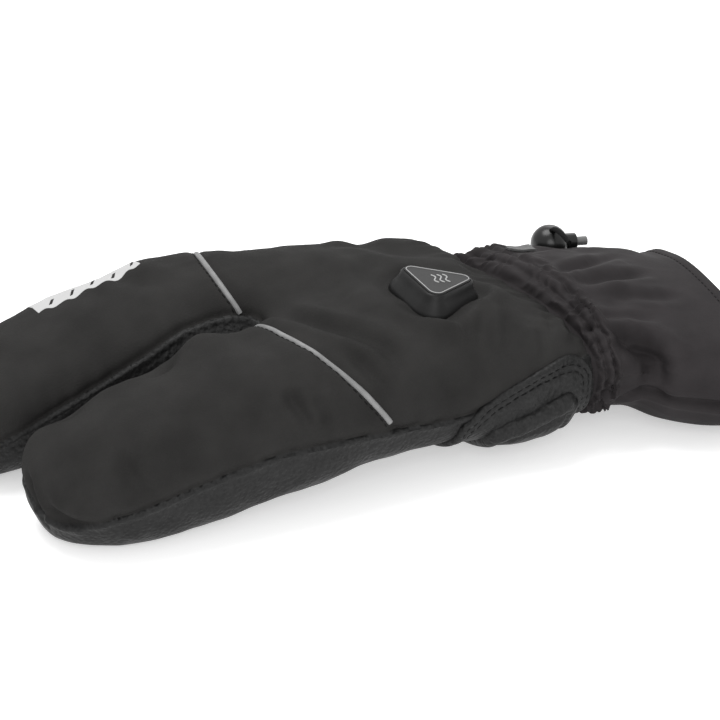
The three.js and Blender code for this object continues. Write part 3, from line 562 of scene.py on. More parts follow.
# Folds pressed into the back: width, depth and route. A negative depth is a raised ridge.
BACK_FOLDS = {
    "crotch": (3.6, 2.6, [
        (-93.6, -0.2, 51.6), (-90.5, -21, 58.7), (-83.6, -32.8, 60.1), (-75.7, -42, 59.3),
        (-69.5, -50.4, 56.8), (-68.3, -60.3, 50), (-70, -65.4, 41.6)]),
    "beside piping": (2.6, 1.5, [
        (-83.9, -46.2, 57.3), (-81, -54.5, 53.9), (-77, -61.3, 48.8), (-72.5, -65.6, 39.8)]),
    "below control": (2.2, -1.4, [
        (-50.7, -40.2, 60.3), (-44.9, -46.2, 58.4), (-40.6, -51.6, 55.7), (-37.3, -56.7, 52.3)]),
    "first seam dent": (2.6, 2.6, [
        (-113.5, -56.4, 53.5), (-110.9, -61.7, 48.9), (-107.6, -64.8, 43.1), (-105.1, -66, 38.9)]),
    "second seam dent": (2.2, 2.1, [
        (-104.1, -60.7, 50.1), (-101.7, -64.1, 44.6), (-99.5, -66, 38.4)]),
    "tip dent": (3.4, 2.6, [
        (-176.8, -52.9, 41.2), (-174.6, -58.5, 36.3), (-171.8, -61.9, 29.2), (-168.1, -63.2, 22.3)]),
    "wrist ridge": (2.8, -2.1, [
        (-18.3, -40.4, 57), (-25.2, -54, 53.8), (-28.7, -61.4, 47.5)]),
    "second wrist ridge": (2.4, -1.9, [
        (-8.9, -50.4, 52.7), (-13.9, -62.8, 43.9)]),
    "third wrist ridge": (2.2, -1.7, [(7.6, -43.4, 48.8), (1.8, -58.2, 45.3)]),
    "back ridge": (5, -1.8, [
        (-53.5, 17, 62.5), (-60.7, -4.1, 60.3), (-65.9, -32.2, 61.3)]),
    "tip seam": (1.2, 1.5, [
        (-203, -26, 30), (-202, -32, 23), (-201.3, -36.5, 17), (-200.3, -38, 12), (-198, -40, 6)]),
    "tip fold": (2.2, 2, [
        (-200, -40, 19), (-197.7, -44.9, 17), (-195.1, -47.9, 16.1), (-188, -55, 15.6)]),
    "far dent": (5, 1.6, [
        (-30, 56, 52), (-38, 34, 60), (-52, 24, 62)]),
    "far finger dent": (4.5, 1.5, [
        (-128, 30, 58), (-134, 46, 56), (-136, 62, 46)]),
}
# Soft bulges and hollows of the padding: where, how high and how wide
BACK_SWELLS = [
    ((-129, -17, 54), 4.2, 9), ((-146, -19, 52), -3.2, 6), ((-165, -20, 48.5), 1.6, 9),
    ((-183, -18, 42), -3, 6), ((-194, -20, 34), 1.2, 7),
    ((-32, 21, 60), -4.6, 12), ((-20, 14, 59), -3.4, 10), ((-46, 24, 61), 1, 6)]
CUFF_SWELLS = [
    ((24, -65, 36), 3, 9), ((46, 1, 50), -2.4, 11), ((70, 6, 45), 1.4, 8), ((88, 2, 42), -3.2, 14),
    ((18, 4, 54), -2.2, 9), ((5, 12, 50), -2.8, 9)]
CONTROL_MOAT = 1.3
SEAM_RISE = 0.8
SEAM_GROOVE = 0.85
PIPING_DIP = 1.3
# Lumps of the padding: their size along each axis, and a shift that makes each pattern its own
BACK_LUMPS = {
    "broad": ((34, 30, 30), 3.1), "middle": ((13, 19, 17), 8.4), "small": ((6.5, 9, 9), 1.7),
    "across the seam": ((4.6, 26, 15), 5.5), "beside the piping": ((26, 5, 11), 2.2),
    "toward the wrist": ((30, 4.2, 7), 7.7)}


def control_moat(points, lumps):
    """The dip and swell of the padding about the heat control, which sinks it in."""
    local = (points - CONTROL_CENTRE) @ CONTROL_AXES.T
    from_base = -inside_outline(local[:, :2], control_outline(CONTROL_FLARE))
    close = (np.abs(local[:, 2]) < 25) & (from_base < 30)
    lower = ramp(-local[:, 1] + 0.6 * local[:, 0], -14, 12)
    moat = -CONTROL_MOAT * (0.55 + 0.75 * lower) * bell(from_base - 0.6, 4.2)
    moat += (1.2 + 1.4 * lower) * bell(from_base - 6.5, 4.5) + 0.35 * lumps * bell(from_base - 4, 5)
    under = -2.6 * ramp(-from_base, 0, 3)
    return np.where(close, moat + under, 0)


def back_shape(points, normals):
    """How far the padded skin stands out of its plain form at each point."""
    def away(field):
        return along_surface(field, points, normals)

    seam, wrist = away(above_seam), away(before_wrist)
    outer, inner = (away(lambda p: beyond(plane, p)) for plane in PLANES.values())
    piping = np.where(points[:, 1] < 0, outer, inner)
    broad, lumps, small, across, beside, radial = (noise_at(points, *row) for row in BACK_LUMPS.values())
    fabric = ramp(seam, -0.7, 0.7)
    leather_share = 1 - fabric
    calm = 1 - 0.75 * bell(points[:, 1], 24) * ramp(-points[:, 0], 84, 98)

    height = SEAM_RISE * fabric * (1 - bell(seam, 3)) - SEAM_GROOVE * bell(seam - 0.5, 1.4)
    height += SEAM_GROOVE * leather_share * bell(seam + 1.3, 1.2)
    height -= PIPING_DIP * fabric * bell(piping, 2.3)
    height += fabric * (1.5 * broad + 0.85 * lumps + 0.22 * small)
    height += leather_share * calm * (0.9 * broad + 0.5 * lumps + 0.2 * small)
    height += 0.95 * across * fabric * np.exp(-np.abs(seam) / 7)
    height += 0.55 * across * calm * leather_share * np.exp(-np.abs(seam) / 5)
    height += 0.75 * fabric * beside * np.exp(-np.abs(piping) / 6.5)
    height *= 0.2 + 0.8 * ramp(wrist, 0, 11)
    height += (1.9 * radial * bell(wrist - 6, 8) - 0.5 * bell(wrist, 1.8)) * fabric
    return height + relief(points, BACK_FOLDS.values(), BACK_SWELLS) + control_moat(points, lumps)


solids = [capped_loft(dense(sizes, 90, 120)) for sizes in (HAND, OUTER_FINGER, INNER_FINGER)]
rest, skin_faces = remeshed(solids)
rest = smoothed(rest, skin_faces, 8)
web = bell(rest[:, 0] - CROTCH_X - 2, 16) * bell(rest[:, 1], 26) * ramp(rest[:, 2], 34, 46)
roots = bell(rest[:, 0] - CROTCH_X - 8, 20) * ramp(np.abs(rest[:, 1]), 10, 26)
softer = smoothed(rest, skin_faces, 60)
share = np.clip(web + 0.8 * roots, 0, 1)[:, None]
rest = rest * (1 - share) + softer * share
normals = point_normals(rest, skin_faces)
form = rest + normals * back_shape(rest, normals)[:, None]
form[:, 2] = np.maximum(form[:, 2], FLOOR_GAP)
form_normals = unit(smoothed(point_normals(form, skin_faces), skin_faces, 3))
lining = form - form_normals * SHELL_WALL
skin = np.concatenate([rest, form, lining], axis=1)
skin, skin_faces, _ = split(skin, skin_faces, before_wrist(skin[:, :3]))
skin_tree = BVHTree.FromPolygons(skin[:, 3:6].tolist(), skin_faces.tolist())


def part_of(faces, field):
    """The faces of the skin where the field is above nothing, and the others."""
    global skin
    skin, above, below = split(skin, faces, field(skin[:, :3]))
    return above, below


ROOT_SEAM_X = -0.89 * HAND_LENGTH
fabric_faces, leather_faces = part_of(skin_faces, above_seam)
outer_faces, back_faces = part_of(fabric_faces, lambda p: np.minimum(beyond(PLANES["outer"], p), -p[:, 1]))
inner_faces, back_faces = part_of(back_faces, lambda p: np.minimum(beyond(PLANES["inner"], p), p[:, 1]))
front_faces, palm_faces = part_of(leather_faces, lambda p: ROOT_SEAM_X - p[:, 0])
outer_front, inner_front = part_of(front_faces, lambda p: -p[:, 1])
SKIN_PIECES = {
    "palm_leather": ("palm", palm_faces),
    "finger_front_outer": ("outer_finger_front", outer_front),
    "finger_front_inner": ("inner_finger_front", inner_front),
    "finger_back_outer": ("outer_finger_back", outer_faces),
    "finger_back_inner": ("inner_finger_back", inner_faces),
    "back_panel": ("back_of_hand", back_faces),
}
pieces = {node: shell(name, skin[:, 3:6], skin[:, 6:9], faces) for node, (name, faces) in SKIN_PIECES.items()}


# Piping over the roots of the two compartments

def piping_line(plane, arc, side, steps=90):
    """Where the plane of a piping meets the skin, sunk a little into it and evened."""
    hub = np.array((CROTCH_X, side * HAND_WIDTH, 0.5 * HAND_THICKNESS))
    origin = hub + plane["normal"] * ((plane["point"] - hub) @ plane["normal"])
    across = plane["across"] * (1 if plane["across"][1] > 0 else -1)
    found = []
    for angle in np.radians(np.linspace(*arc, steps + 1)):
        way = across * math.cos(angle) + plane["upward"] * math.sin(angle)
        hit = skin_tree.ray_cast((origin + way * 150).tolist(), (-way).tolist())[0]
        if hit is not None:
            found.append(np.array(hit) - way * PIPING_SUNK)
    line = np.array(found)
    for _ in range(6):
        line[1:-1] = 0.5 * line[1:-1] + 0.25 * (line[:-2] + line[2:])
    return line


def rings_round(line, first, second, size, sides):
    turns = np.linspace(0, 2 * np.pi, sides, endpoint=False)[None, :, None]
    return line[:, None] + size * (np.cos(turns) * first[:, None] + np.sin(turns) * second[:, None])


def tube(name, line, radius, sides=14, braid=None):
    """A closed round tube along a line of points, ribbed where it has a braid."""
    ways = unit(np.gradient(line, axis=0))
    first = np.cross(ways[0], (0.3, 0.4, 1))
    firsts = []
    for way in ways:
        first = unit(first - way * (first @ way))
        firsts.append(first)
    firsts = np.array(firsts)
    size = radius
    if braid is not None:
        turns = np.linspace(0, 2 * np.pi, sides, endpoint=False)
        size = radius * (1 + 0.09 * np.sin(turns * 6 + np.arange(len(line))[:, None] * braid))[:, :, None]
    return mesh_object(name, *capped_loft(rings_round(line, firsts, np.cross(ways, firsts), size, sides)))


piping_lines = {name: piping_line(PLANES[name], row["arc"], row["side"]) for name, row in PIPINGS.items()}
for name, line in piping_lines.items():
    pieces[f"piping_{name}"] = tube(f"{name}_piping", line, PIPING_RADIUS)


# Thumb

def placed_thumb(points):
    turn = -math.radians(THUMB_ANGLE)
    c, s = math.cos(turn), math.sin(turn)
    moved = points @ np.array([(c, s, 0), (-s, c, 0), (0, 0, 1)])
    return moved + (-THUMB_ROOT["along"] * HAND_LENGTH, THUMB_ROOT["side"] * HAND_WIDTH, 0)


def above_thumb_seam(points):
    return points[:, 2] - THUMB_THICKNESS * 0.5


def nearest(tree, points):
    """The places of a surface nearest to the points, and its normals there."""
    return np.array([tree.find_nearest(point)[:2] for point in points.tolist()]).transpose(1, 0, 2)


def outside(tree, points):
    """How far each point lies outside a surface."""
    near, out = nearest(tree, points)
    return ((points - near) * out).sum(1)


THUMB_BITE = 0.8
thumb_rest, thumb_faces = capped_loft(dense(THUMB, 110, 96))
thumb_rest = smoothed(placed_thumb(thumb_rest), thumb_faces, 4)
thumb_normals = point_normals(thumb_rest, thumb_faces)
thumb_seam = along_surface(above_thumb_seam, thumb_rest, thumb_normals)
thumb_height = -1.4 * bell(thumb_seam, 1.8) + 0.6 * (1 - bell(thumb_seam, 9))
thumb_height += 1.1 * noise_at(thumb_rest, (15, 15, 20), 4.4) + 0.5 * noise_at(thumb_rest, (7, 7, 12), 9.1)
thumb_height += 0.9 * noise_at(thumb_rest, (4.5, 7, 14), 6.3) * np.exp(-np.abs(thumb_seam) / 6)
thumb_form = thumb_rest + thumb_normals * thumb_height[:, None]
thumb_form[:, 2] = np.maximum(thumb_form[:, 2], FLOOR_GAP)
thumb_lining = thumb_form - point_normals(thumb_form, thumb_faces) * SHELL_WALL
thumb = np.concatenate([thumb_rest, thumb_form, thumb_lining], axis=1)
thumb, thumb_faces, _ = split(thumb, thumb_faces, outside(skin_tree, thumb[:, 3:6]) + THUMB_BITE)
thumb, thumb_top, thumb_bottom = split(thumb, thumb_faces, above_thumb_seam(thumb[:, :3]))
for side, faces in (("back", thumb_top), ("front", thumb_bottom)):
    pieces[f"thumb_{side}"] = shell(f"thumb_{side}_cover", thumb[:, 3:6], thumb[:, 6:9], faces)


# Heel patch and cushion: layers over the skin inside smooth outlines seen from the side

HEEL_TO_Y = -0.2 * HAND_WIDTH
PATCH_THICKNESS = 1.7
CUSHION_THICKNESS = 4.6
CUSHION_INSET = 6
STITCH_INSETS = (2.4, 4.8)


def smooth_outline(shares, steps=8):
    corners = np.array(shares) * (HAND_LENGTH, HAND_THICKNESS)
    closed = np.concatenate([corners[-1:], corners, corners[:2]])
    fours = zip(closed, closed[1:], closed[2:], closed[3:])
    return np.array([spline(*four, f) for four in fours for f in np.linspace(0, 1, steps, endpoint=False)])


PATCH_OUTLINE = smooth_outline(HEEL_PATCH)
CUSHION_OUTLINE = smooth_outline(HEEL_CUSHION)
heel_out = smoothed(point_normals(skin[:, 3:6], skin_faces), skin_faces, 12)
heel_values = np.concatenate([skin[:, :3], smoothed(skin[:, 3:6], skin_faces, 10), heel_out], axis=1)
heel_faces = skin_faces[(skin[skin_faces][:, :, 1] < HEEL_TO_Y + 4).any(1)]
heel_faces = heel_faces[(skin[heel_faces][:, :, 0] > -0.6 * HAND_LENGTH).any(1)]


def inside_heel(points, outline):
    return np.minimum(inside_outline(points[:, [0, 2]], outline), HEEL_TO_Y - points[:, 1])


def rounded_edge(depth, roll):
    t = np.clip(depth / roll, 0, 1)
    return np.sqrt(np.maximum(1 - (1 - t) ** 2, 0))


def heel_piece(name, outline, height_of, foot_of):
    values, near = finer(*used(heel_values, heel_faces))
    values, near, _ = split(values, near, inside_heel(values[:, :3], outline))
    rest_points, base, out = values[:, :3], values[:, 3:6], unit(values[:, 6:9])
    depth = inside_heel(rest_points, outline)
    top, foot = (base + out * rise_of(rest_points, depth)[:, None] for rise_of in (height_of, foot_of))
    top[:, 2] = np.maximum(top[:, 2], FLOOR_GAP)
    foot[:, 2] = np.maximum(foot[:, 2], FLOOR_GAP - 0.02)
    return shell(name, top, foot, near)


def patch_height(points, depth):
    creases = 0.5 * noise_at(points, (6, 12, 9), 3.3) * ramp(depth, 1, 5)
    stitched = -0.35 * sum(bell(depth - inset, 0.55) for inset in STITCH_INSETS)
    return 0.5 + PATCH_THICKNESS * rounded_edge(depth, 1.6) + creases + stitched


def cushion_height(points, depth):
    puff = CUSHION_THICKNESS * rounded_edge(depth, 5.5)
    groove = -1.1 * bell(depth - 6.2, 1.2)
    wrinkle = 0.45 * noise_at(points, (4, 12, 8), 6.1) * bell(depth - 3, 4)
    return patch_height(points, depth + CUSHION_INSET) - 0.6 + puff + groove + wrinkle


pieces["heel_patch"] = heel_piece("heel_cover", PATCH_OUTLINE, patch_height, lambda p, d: 0 * d + 0.15)
pieces["heel_cushion"] = heel_piece(
    "heel_pad", CUSHION_OUTLINE, cushion_height, lambda p, d: patch_height(p, d + CUSHION_INSET) - 0.5)


# Gathered wrist and gauntlet as one cloth

GAUNTLET_X = GATHER["x"][-1] + PIECE_GAP
GAUNTLET = sized(GAUNTLET_ROWS, GAUNTLET_X, GAUNTLET_LENGTH, MOUTH_WIDTH, MOUTH_THICKNESS)
CUFF = {name: np.concatenate([GATHER[name], GAUNTLET[name]]) for name in GATHER}
CUFF_ROWS = 150
CUFF_COUNT = 440
GATHER_ENDS = len(GATHER_ROWS["along"]) - 1
CUFF_RADIUS = 46
CUFF_TUCK = 1.9
CUFF_OVERLAP = 2.6
LOCK_SPOT = own(np.array(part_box("cord_lock")).mean(0)) - (0, 4, 2)
# Folds of the cuff: width, depth and route
CUFF_FOLDS = [
    (2.6, 2.2, [(13.2, -29.5, 54.3), (25.2, -19.8, 54.4), (40.1, -15.8, 53.5), (59.2, -5, 48)]),
    (2.8, 2.4, [(18.5, -35, 54.3), (28.5, -31.9, 54.6), (44.3, -28.7, 52), (64.1, -24.4, 47.8)]),
    (2.4, 2, [(18.3, -52.2, 50.4), (25.3, -54.1, 50.1), (35.8, -56.1, 48.3), (44.3, -60.1, 46.5)]),
    (2.2, 2, [(13.5, -50.9, 47), (19.5, -56.4, 47.3), (25.8, -59.4, 46.5), (27.9, -62.9, 43.3)]),
    (4.4, 6.5, [
        (21, -60.6, 46), (28, -63, 43), (32, -65.3, 40.6), (34.5, -68.5, 38.5), (35.5, -71.5, 35),
        (35, -72.5, 30), (32, -69.5, 25)]),
    (1.5, 2.7, [
        (18.5, -60.7, 19.5), (25, -64.5, 21.5), (31.9, -67.8, 24.2), (41, -76.5, 22.8), (55.5, -86.6, 20.8),
        (70, -92, 19.5), (84, -96, 18.5)]),
    (3, 1.6, [(30, -42, 53), (46, -44, 51), (66, -46, 47)]),
    (3, 1.5, [(24, 6, 53), (40, 10, 50), (60, 14, 45)]),
]
CUFF_LIP = 0.3
GATHER_RISE = 2.2
GATHER_FINE_RISE = 0.7
LOOSE_RISE = 1.3
ELASTIC_DIP = 1.5


def ring_noise(turn, along, width, length, seed):
    """Noise round the cuff: its lumps are so wide round it and so long along it, in millimetres."""
    round_it = np.array((np.cos(turn), np.sin(turn))) * CUFF_RADIUS / width
    spots = np.stack([*round_it, along / length], -1)
    return noise_at(spots.reshape(-1, 3), (1, 1, 1), seed).reshape(turn.shape)


def cuff_shape(turn, along, points):
    """How far the cuff stands out: tight gathers by the wrist, then a few long folds that run out of them."""
    warp = ring_noise(turn, along, 15, 8, 2.5) * 0.09 + ring_noise(turn, along, 6, 5, 4.5) * 0.03
    tight = 1 - 2.3 * np.abs(ring_noise(turn + warp, along, 5, 7.5, 6.6))
    fine = ring_noise(turn + warp, along, 3, 4, 9.6)
    uneven = 0.65 + 0.7 * ring_noise(turn, along, 19, 30, 5.1)
    loose = 1 - 2.2 * np.abs(ring_noise(turn + 0.5 * warp, along, 15, 60, 1.2))
    early = ramp(along, -0.5, 3) * (1 - ramp(along, 11, 19))
    late = ramp(along, 4, 16) * (1 - 0.85 * ramp(along, 24, 56))
    gathers = GATHER_RISE * tight + GATHER_FINE_RISE * fine
    height = gathers * early * np.clip(uneven, 0.5, 1.25) + LOOSE_RISE * loose * late
    height -= ELASTIC_DIP * early * (bell(along - 5.2 - 12 * warp, 1.1) + bell(along - 10.6 + 8 * warp, 1.2))
    height *= 0.15 + 0.85 * ramp(points[..., 2], 3, 16)
    height += 1.1 * early + 1.1 * ring_noise(turn, along, 26, 40, 3.9) * ramp(along, 10, 34)
    flat = points.reshape(-1, 3)
    height += relief(flat, CUFF_FOLDS, CUFF_SWELLS, CUFF_LIP).reshape(height.shape)
    beside_lock = np.linalg.norm(points - LOCK_SPOT, axis=-1)
    return height * (1 - 0.8 * bell(beside_lock, 13))


def facing_out(points, faces):
    """The faces of an open form, turned away from its middle."""
    away = (point_normals(points, faces) * (points - points.mean(0))).sum()
    return faces if away > 0 else faces[:, ::-1]


def tucked(layer):
    """The layer with one more ring in front, tucked under the edge of the hand."""
    first = layer[:CUFF_COUNT]
    ring = first + unit(first.mean(0) - first) * CUFF_TUCK - (CUFF_OVERLAP, 0, 0)
    return np.concatenate([ring, layer])


cuff_turns = np.linspace(0, 2 * np.pi, CUFF_COUNT, endpoint=False)
gather_rows = int(CUFF_ROWS * 0.52)
cuff_places = np.concatenate([
    np.linspace(0, GATHER_ENDS, gather_rows, endpoint=False),
    np.linspace(GATHER_ENDS, len(CUFF["x"]) - 1, CUFF_ROWS - gather_rows),
])
cuff_rest = section_grid(CUFF, cuff_places, cuff_turns)
cuff_x = rows_at(CUFF, cuff_places)["x"]
cuff_along = np.repeat((cuff_x - cuff_x[0])[:, None], CUFF_COUNT, 1)
cuff_turn = np.repeat(cuff_turns[None], CUFF_ROWS, 0)
cuff_flat = cuff_rest.reshape(-1, 3)
cuff_faces = facing_out(cuff_flat, grid_faces(CUFF_ROWS, CUFF_COUNT))
from_mouth = (cuff_x[-1] - cuff_x[0]) - cuff_along
cuff_height = cuff_shape(cuff_turn, cuff_along, cuff_rest) * (0.35 + 0.65 * ramp(from_mouth, 0, 16))
cuff_height += 0.2 * (1 - ramp(from_mouth, HEM_WIDTH - 0.8, HEM_WIDTH + 0.4))
cuff_height -= 0.3 * bell(from_mouth - HEM_WIDTH, 0.7)
cuff_form = cuff_flat + point_normals(cuff_flat, cuff_faces) * cuff_height.reshape(-1)[:, None]
cuff_form[:, 2] = np.maximum(cuff_form[:, 2], FLOOR_GAP)
cuff_out = unit(smoothed(point_normals(cuff_form, cuff_faces), cuff_faces, 4))
cuff_inside = tucked(cuff_form - cuff_out * CUFF_WALL)
cuff_form = tucked(cuff_form)
cuff_faces = facing_out(cuff_form, grid_faces(CUFF_ROWS + 1, CUFF_COUNT))
gathered = cuff_faces.min(1) // CUFF_COUNT < gather_rows + 1
pieces["wrist_gather"] = shell("wrist_cloth", cuff_form, cuff_inside, cuff_faces[gathered])
pieces["gauntlet"] = shell("gauntlet_cloth", cuff_form, cuff_inside, cuff_faces[~gathered])
cuff_tree = BVHTree.FromPolygons(cuff_form.tolist(), cuff_faces.tolist())


# Hard pieces

def choose(*wanted):
    """Leaves nothing chosen but the wanted piece."""
    for each in bpy.context.selected_objects:
        each.select_set(False)
    for piece in wanted:
        piece.select_set(True)
        bpy.context.view_layer.objects.active = piece


def settle(piece):
    """Puts a piece's place into its vertices, so that its object stands at the origin."""
    choose(piece)
    bpy.ops.object.transform_apply(location=True, rotation=True, scale=True)
    return piece


def made(name, add, **how):
    choose()
    add(**how)
    piece = bpy.context.active_object
    piece.name = name
    return settle(piece)


def rod(name, radius, from_z, to_z):
    return made(name, bpy.ops.mesh.primitive_cylinder_add, vertices=48, radius=radius, depth=to_z - from_z,
                location=(0, 0, (from_z + to_z) / 2))


def put_in(piece, axes, centre):
    """Places a piece modelled in millimetres about the origin."""
    matrix = Matrix(np.array(axes).T.tolist()).to_4x4()
    matrix.translation = (Vector(centre) + SHIFT) * MM
    piece.matrix_world = matrix @ Matrix.Diagonal((MM, MM, MM, 1))
    settle(piece)
    piece.data.polygons.foreach_set("use_smooth", [True] * len(piece.data.polygons))
    return piece


def changed(piece, kind, **settings):
    modifier = piece.modifiers.new("change", kind)
    for name, setting in settings.items():
        setattr(modifier, name, setting)
    choose(piece)
    bpy.ops.object.modifier_apply(modifier=modifier.name)
    return piece


def joined_by(piece, other, operation):
    changed(piece, "BOOLEAN", operation=operation, solver="EXACT", object=other)
    bpy.data.objects.remove(other)


def softened(piece, width):
    limit = math.radians(40)
    return changed(piece, "BEVEL", width=width, segments=3, limit_method="ANGLE", angle_limit=limit)


def outline_plug(name, rings):
    """A block over outlines of the control at rising heights: rows of growth and height."""
    piece = made(name, bpy.ops.mesh.primitive_circle_add, vertices=OUTLINE_COUNT, fill_type="NGON")
    bpy.ops.object.mode_set(mode="EDIT")
    bpy.ops.mesh.select_all(action="SELECT")
    for _ in rings[1:]:
        bpy.ops.mesh.extrude_region_move(TRANSFORM_OT_translate={"value": (0, 0, 1)})
    bpy.ops.object.mode_set(mode="OBJECT")
    spots = [(*spot, height) for grow, height in rings for spot in control_outline(grow)]
    for vertex, spot in zip(piece.data.vertices, spots):
        vertex.co = spot
    bpy.ops.object.mode_set(mode="EDIT")
    bpy.ops.mesh.select_all(action="SELECT")
    bpy.ops.mesh.normals_make_consistent(inside=False)
    bpy.ops.object.mode_set(mode="OBJECT")
    return piece


BASE_RINGS = [(CONTROL_FLARE, -CONTROL_SUNK), (CONTROL_FLARE + 0.3, -0.6), (CONTROL_FLARE - 0.4, 1.2),
              (CONTROL_FLARE * 0.55, 3.4), (CONTROL_FLARE * 0.3, 5.6), (1.2, 6.7), (0.8, 7.25), (0.4, 7.5),
              (0.22, 7.45), (0.2, 6.2), (-1, 6.2)]
PLATE_RINGS = [(0, 6.4), (0, 7.6), (-0.12, 7.85), (-0.35, 8)]
pieces["control_base"] = put_in(outline_plug("control_housing", BASE_RINGS), CONTROL_AXES, CONTROL_CENTRE)
pieces["control_plate"] = put_in(outline_plug("control_face", PLATE_RINGS), CONTROL_AXES, CONTROL_CENTRE)


def on_plate(points):
    """Points just over the plate, from millimetres toward the wrist and to the thumb side."""
    local = np.concatenate([points, np.full((len(points), 1), PLATE_TOP + 0.02)], axis=1)
    return local @ CONTROL_AXES + CONTROL_CENTRE


BORDER_INSET = 0.75
WAVE_CENTRE = 1.6
WAVE_PITCH = 2.47
WAVE_SWING = 0.95
WAVE_LENGTH = 6.8
border = control_outline(-BORDER_INSET, 8)
details = [(tube("plate_border", on_plate(np.concatenate([border, border[:2]])), 0.2, 8), "pale_print")]
wave_share = np.linspace(0, 1, 24)
for k in range(3):
    wave_x = WAVE_CENTRE + (k - 1) * WAVE_PITCH + WAVE_SWING * np.sin(2 * np.pi * wave_share)
    wave = on_plate(np.stack([wave_x, (0.5 - wave_share) * WAVE_LENGTH], 1))
    details.append((tube(f"heat_wave_{k + 1}", wave, 0.33, 8), "pale_print"))


# Cord lock and plunger, about the lock's own axis

CORD_HOLE = 1.5
PISTON_RADIUS = 3.2
PISTON_END = 0.8
TRAVEL = 3
CLEARANCE = 0.4
PISTON_FROM = -CORD_HOLE - 1.2
PISTON_TO = CORD_HOLE + TRAVEL + PISTON_END
COLLAR_TO = LOCK_RADIUS + COLLAR_LENGTH
STEM_TO = COLLAR_TO + STEM_OUT
LOCK_AXIS = -unit(np.array(frame["joints"][0]["axis"], float))
PLUNGER_POINTS = own([vertex.co for vertex in frame["nodes"]["cord_lock_plunger"].data.vertices])
PLUNGER_ALONG = PLUNGER_POINTS @ LOCK_AXIS
LOCK_CENTRE = PLUNGER_POINTS[PLUNGER_ALONG > PLUNGER_ALONG.max() - 0.05].mean(0) - LOCK_AXIS * STEM_TO
LOCK_TURN = 15
LOCK_TURN_STEP = 3
beside_turns = np.radians((LOCK_TURN - LOCK_TURN_STEP, LOCK_TURN + LOCK_TURN_STEP))
before, after = section_grid(GATHER, np.array([float(GATHER_ENDS)]), beside_turns)[0]
LOCK_ACROSS = unit(after - before - LOCK_AXIS * ((after - before) @ LOCK_AXIS))
LOCK_AXES = np.array([LOCK_ACROSS, np.cross(LOCK_AXIS, LOCK_ACROSS), LOCK_AXIS])

ball = made(
    "cord_lock_body", bpy.ops.mesh.primitive_uv_sphere_add, segments=56, ring_count=32, radius=LOCK_RADIUS)
joined_by(ball, softened(rod("collar", COLLAR_RADIUS, 5, COLLAR_TO), 0.5), "UNION")
joined_by(ball, rod("bore", STEM_RADIUS + CLEARANCE, 0, COLLAR_TO + 3), "DIFFERENCE")
chamber_from = PISTON_FROM - TRAVEL - CLEARANCE
joined_by(ball, rod("chamber", PISTON_RADIUS + CLEARANCE, chamber_from, PISTON_TO + CLEARANCE), "DIFFERENCE")
cord_way = made("cord_way", bpy.ops.mesh.primitive_cylinder_add, vertices=32, radius=CORD_HOLE,
                depth=4 * LOCK_RADIUS, rotation=(0, math.radians(90), 0))
joined_by(ball, cord_way, "DIFFERENCE")
pieces["cord_lock"] = put_in(ball, LOCK_AXES, LOCK_CENTRE)

stem = softened(rod("plunger_stem", STEM_RADIUS, 0, STEM_TO), 0.4)
joined_by(stem, rod("piston", PISTON_RADIUS, PISTON_FROM, PISTON_TO), "UNION")
way_from, way_to = -CORD_HOLE, PISTON_TO - PISTON_END
plunger_way = made(
    "plunger_way", bpy.ops.mesh.primitive_cube_add, size=1, location=(0, 0, (way_from + way_to) / 2),
    scale=(4 * PISTON_RADIUS, 2 * CORD_HOLE, way_to - way_from))
joined_by(stem, plunger_way, "DIFFERENCE")
pieces["cord_lock_plunger"] = put_in(stem, LOCK_AXES, LOCK_CENTRE)

# The drawcord comes up out of the cuff, goes through the lock and back into the cuff.
CORD_ROWS = [(-1.8, -1.6), (-1.6, -0.75), (-1.15, -0.05), (-0.5, 0), (0.5, 0), (1.15, -0.05), (1.6, -0.75),
             (1.8, -1.6)]
CORD_HIDDEN = 0.8
lock_away = unit(np.cross((1, 0, 0), LOCK_ACROSS))
lock_away *= np.sign(lock_away[2])
cord_corners = LOCK_CENTRE + LOCK_RADIUS * (np.array(CORD_ROWS) @ (LOCK_ACROSS, lock_away))
cord_places = np.linspace(0, len(CORD_ROWS) - 1, 220)
cord_line = np.stack(list(rows_at(dict(enumerate(cord_corners.T)), cord_places).values()), 1)
cord_line = cord_line[outside(cuff_tree, cord_line) > -CORD_HIDDEN]
pieces["drawcord"] = tube("draw_cord", cord_line, DRAWCORD_RADIUS * 0.95, 24, 0.55)

# The webbing tab lies on the gathers beside the lock, and narrows toward the fingers.
TAB_FORTH = [(10, 0, 0), (9, 0, 0)]
TAB_ROWS = 30
TAB_COLUMNS = 18
TAB_THICKNESS = 0.9
tab_low, tab_high = own(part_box("cord_tab")) - TAB_FORTH
tab_f, tab_g = np.meshgrid(np.linspace(0, 1, TAB_ROWS), np.linspace(0, 1, TAB_COLUMNS), indexing="ij")
tab_x = tab_low[0] + tab_f * (tab_high[0] - tab_low[0])
tab_y = (tab_low[1] + tab_high[1]) / 2 + (tab_g - 0.5) * 0.35 * (1 + tab_f) * (tab_high[1] - tab_low[1])
tab_hits = [cuff_tree.ray_cast((*spot, 120), (0, 0, -1))[0] for spot in zip(tab_x.flat, tab_y.flat)]
tab_z = np.array([hit.z for hit in tab_hits]).reshape(tab_x.shape) + 0.25
tab_z = np.maximum(tab_z, tab_z.mean(1, keepdims=True))
tab_points = np.stack([tab_x, tab_y, tab_z], -1).reshape(-1, 3)
tab_faces = grid_faces(TAB_ROWS, TAB_COLUMNS, close=False)
if face_normals(tab_points, tab_faces)[:, 2].sum() < 0:
    tab_faces = tab_faces[:, ::-1]
pieces["cord_tab"] = shell("webbing_tab", tab_points + (0, 0, TAB_THICKNESS), tab_points, tab_faces)


# Stitches: short rounded threads that follow a line over the cloth

STITCH_STEP = 0.5


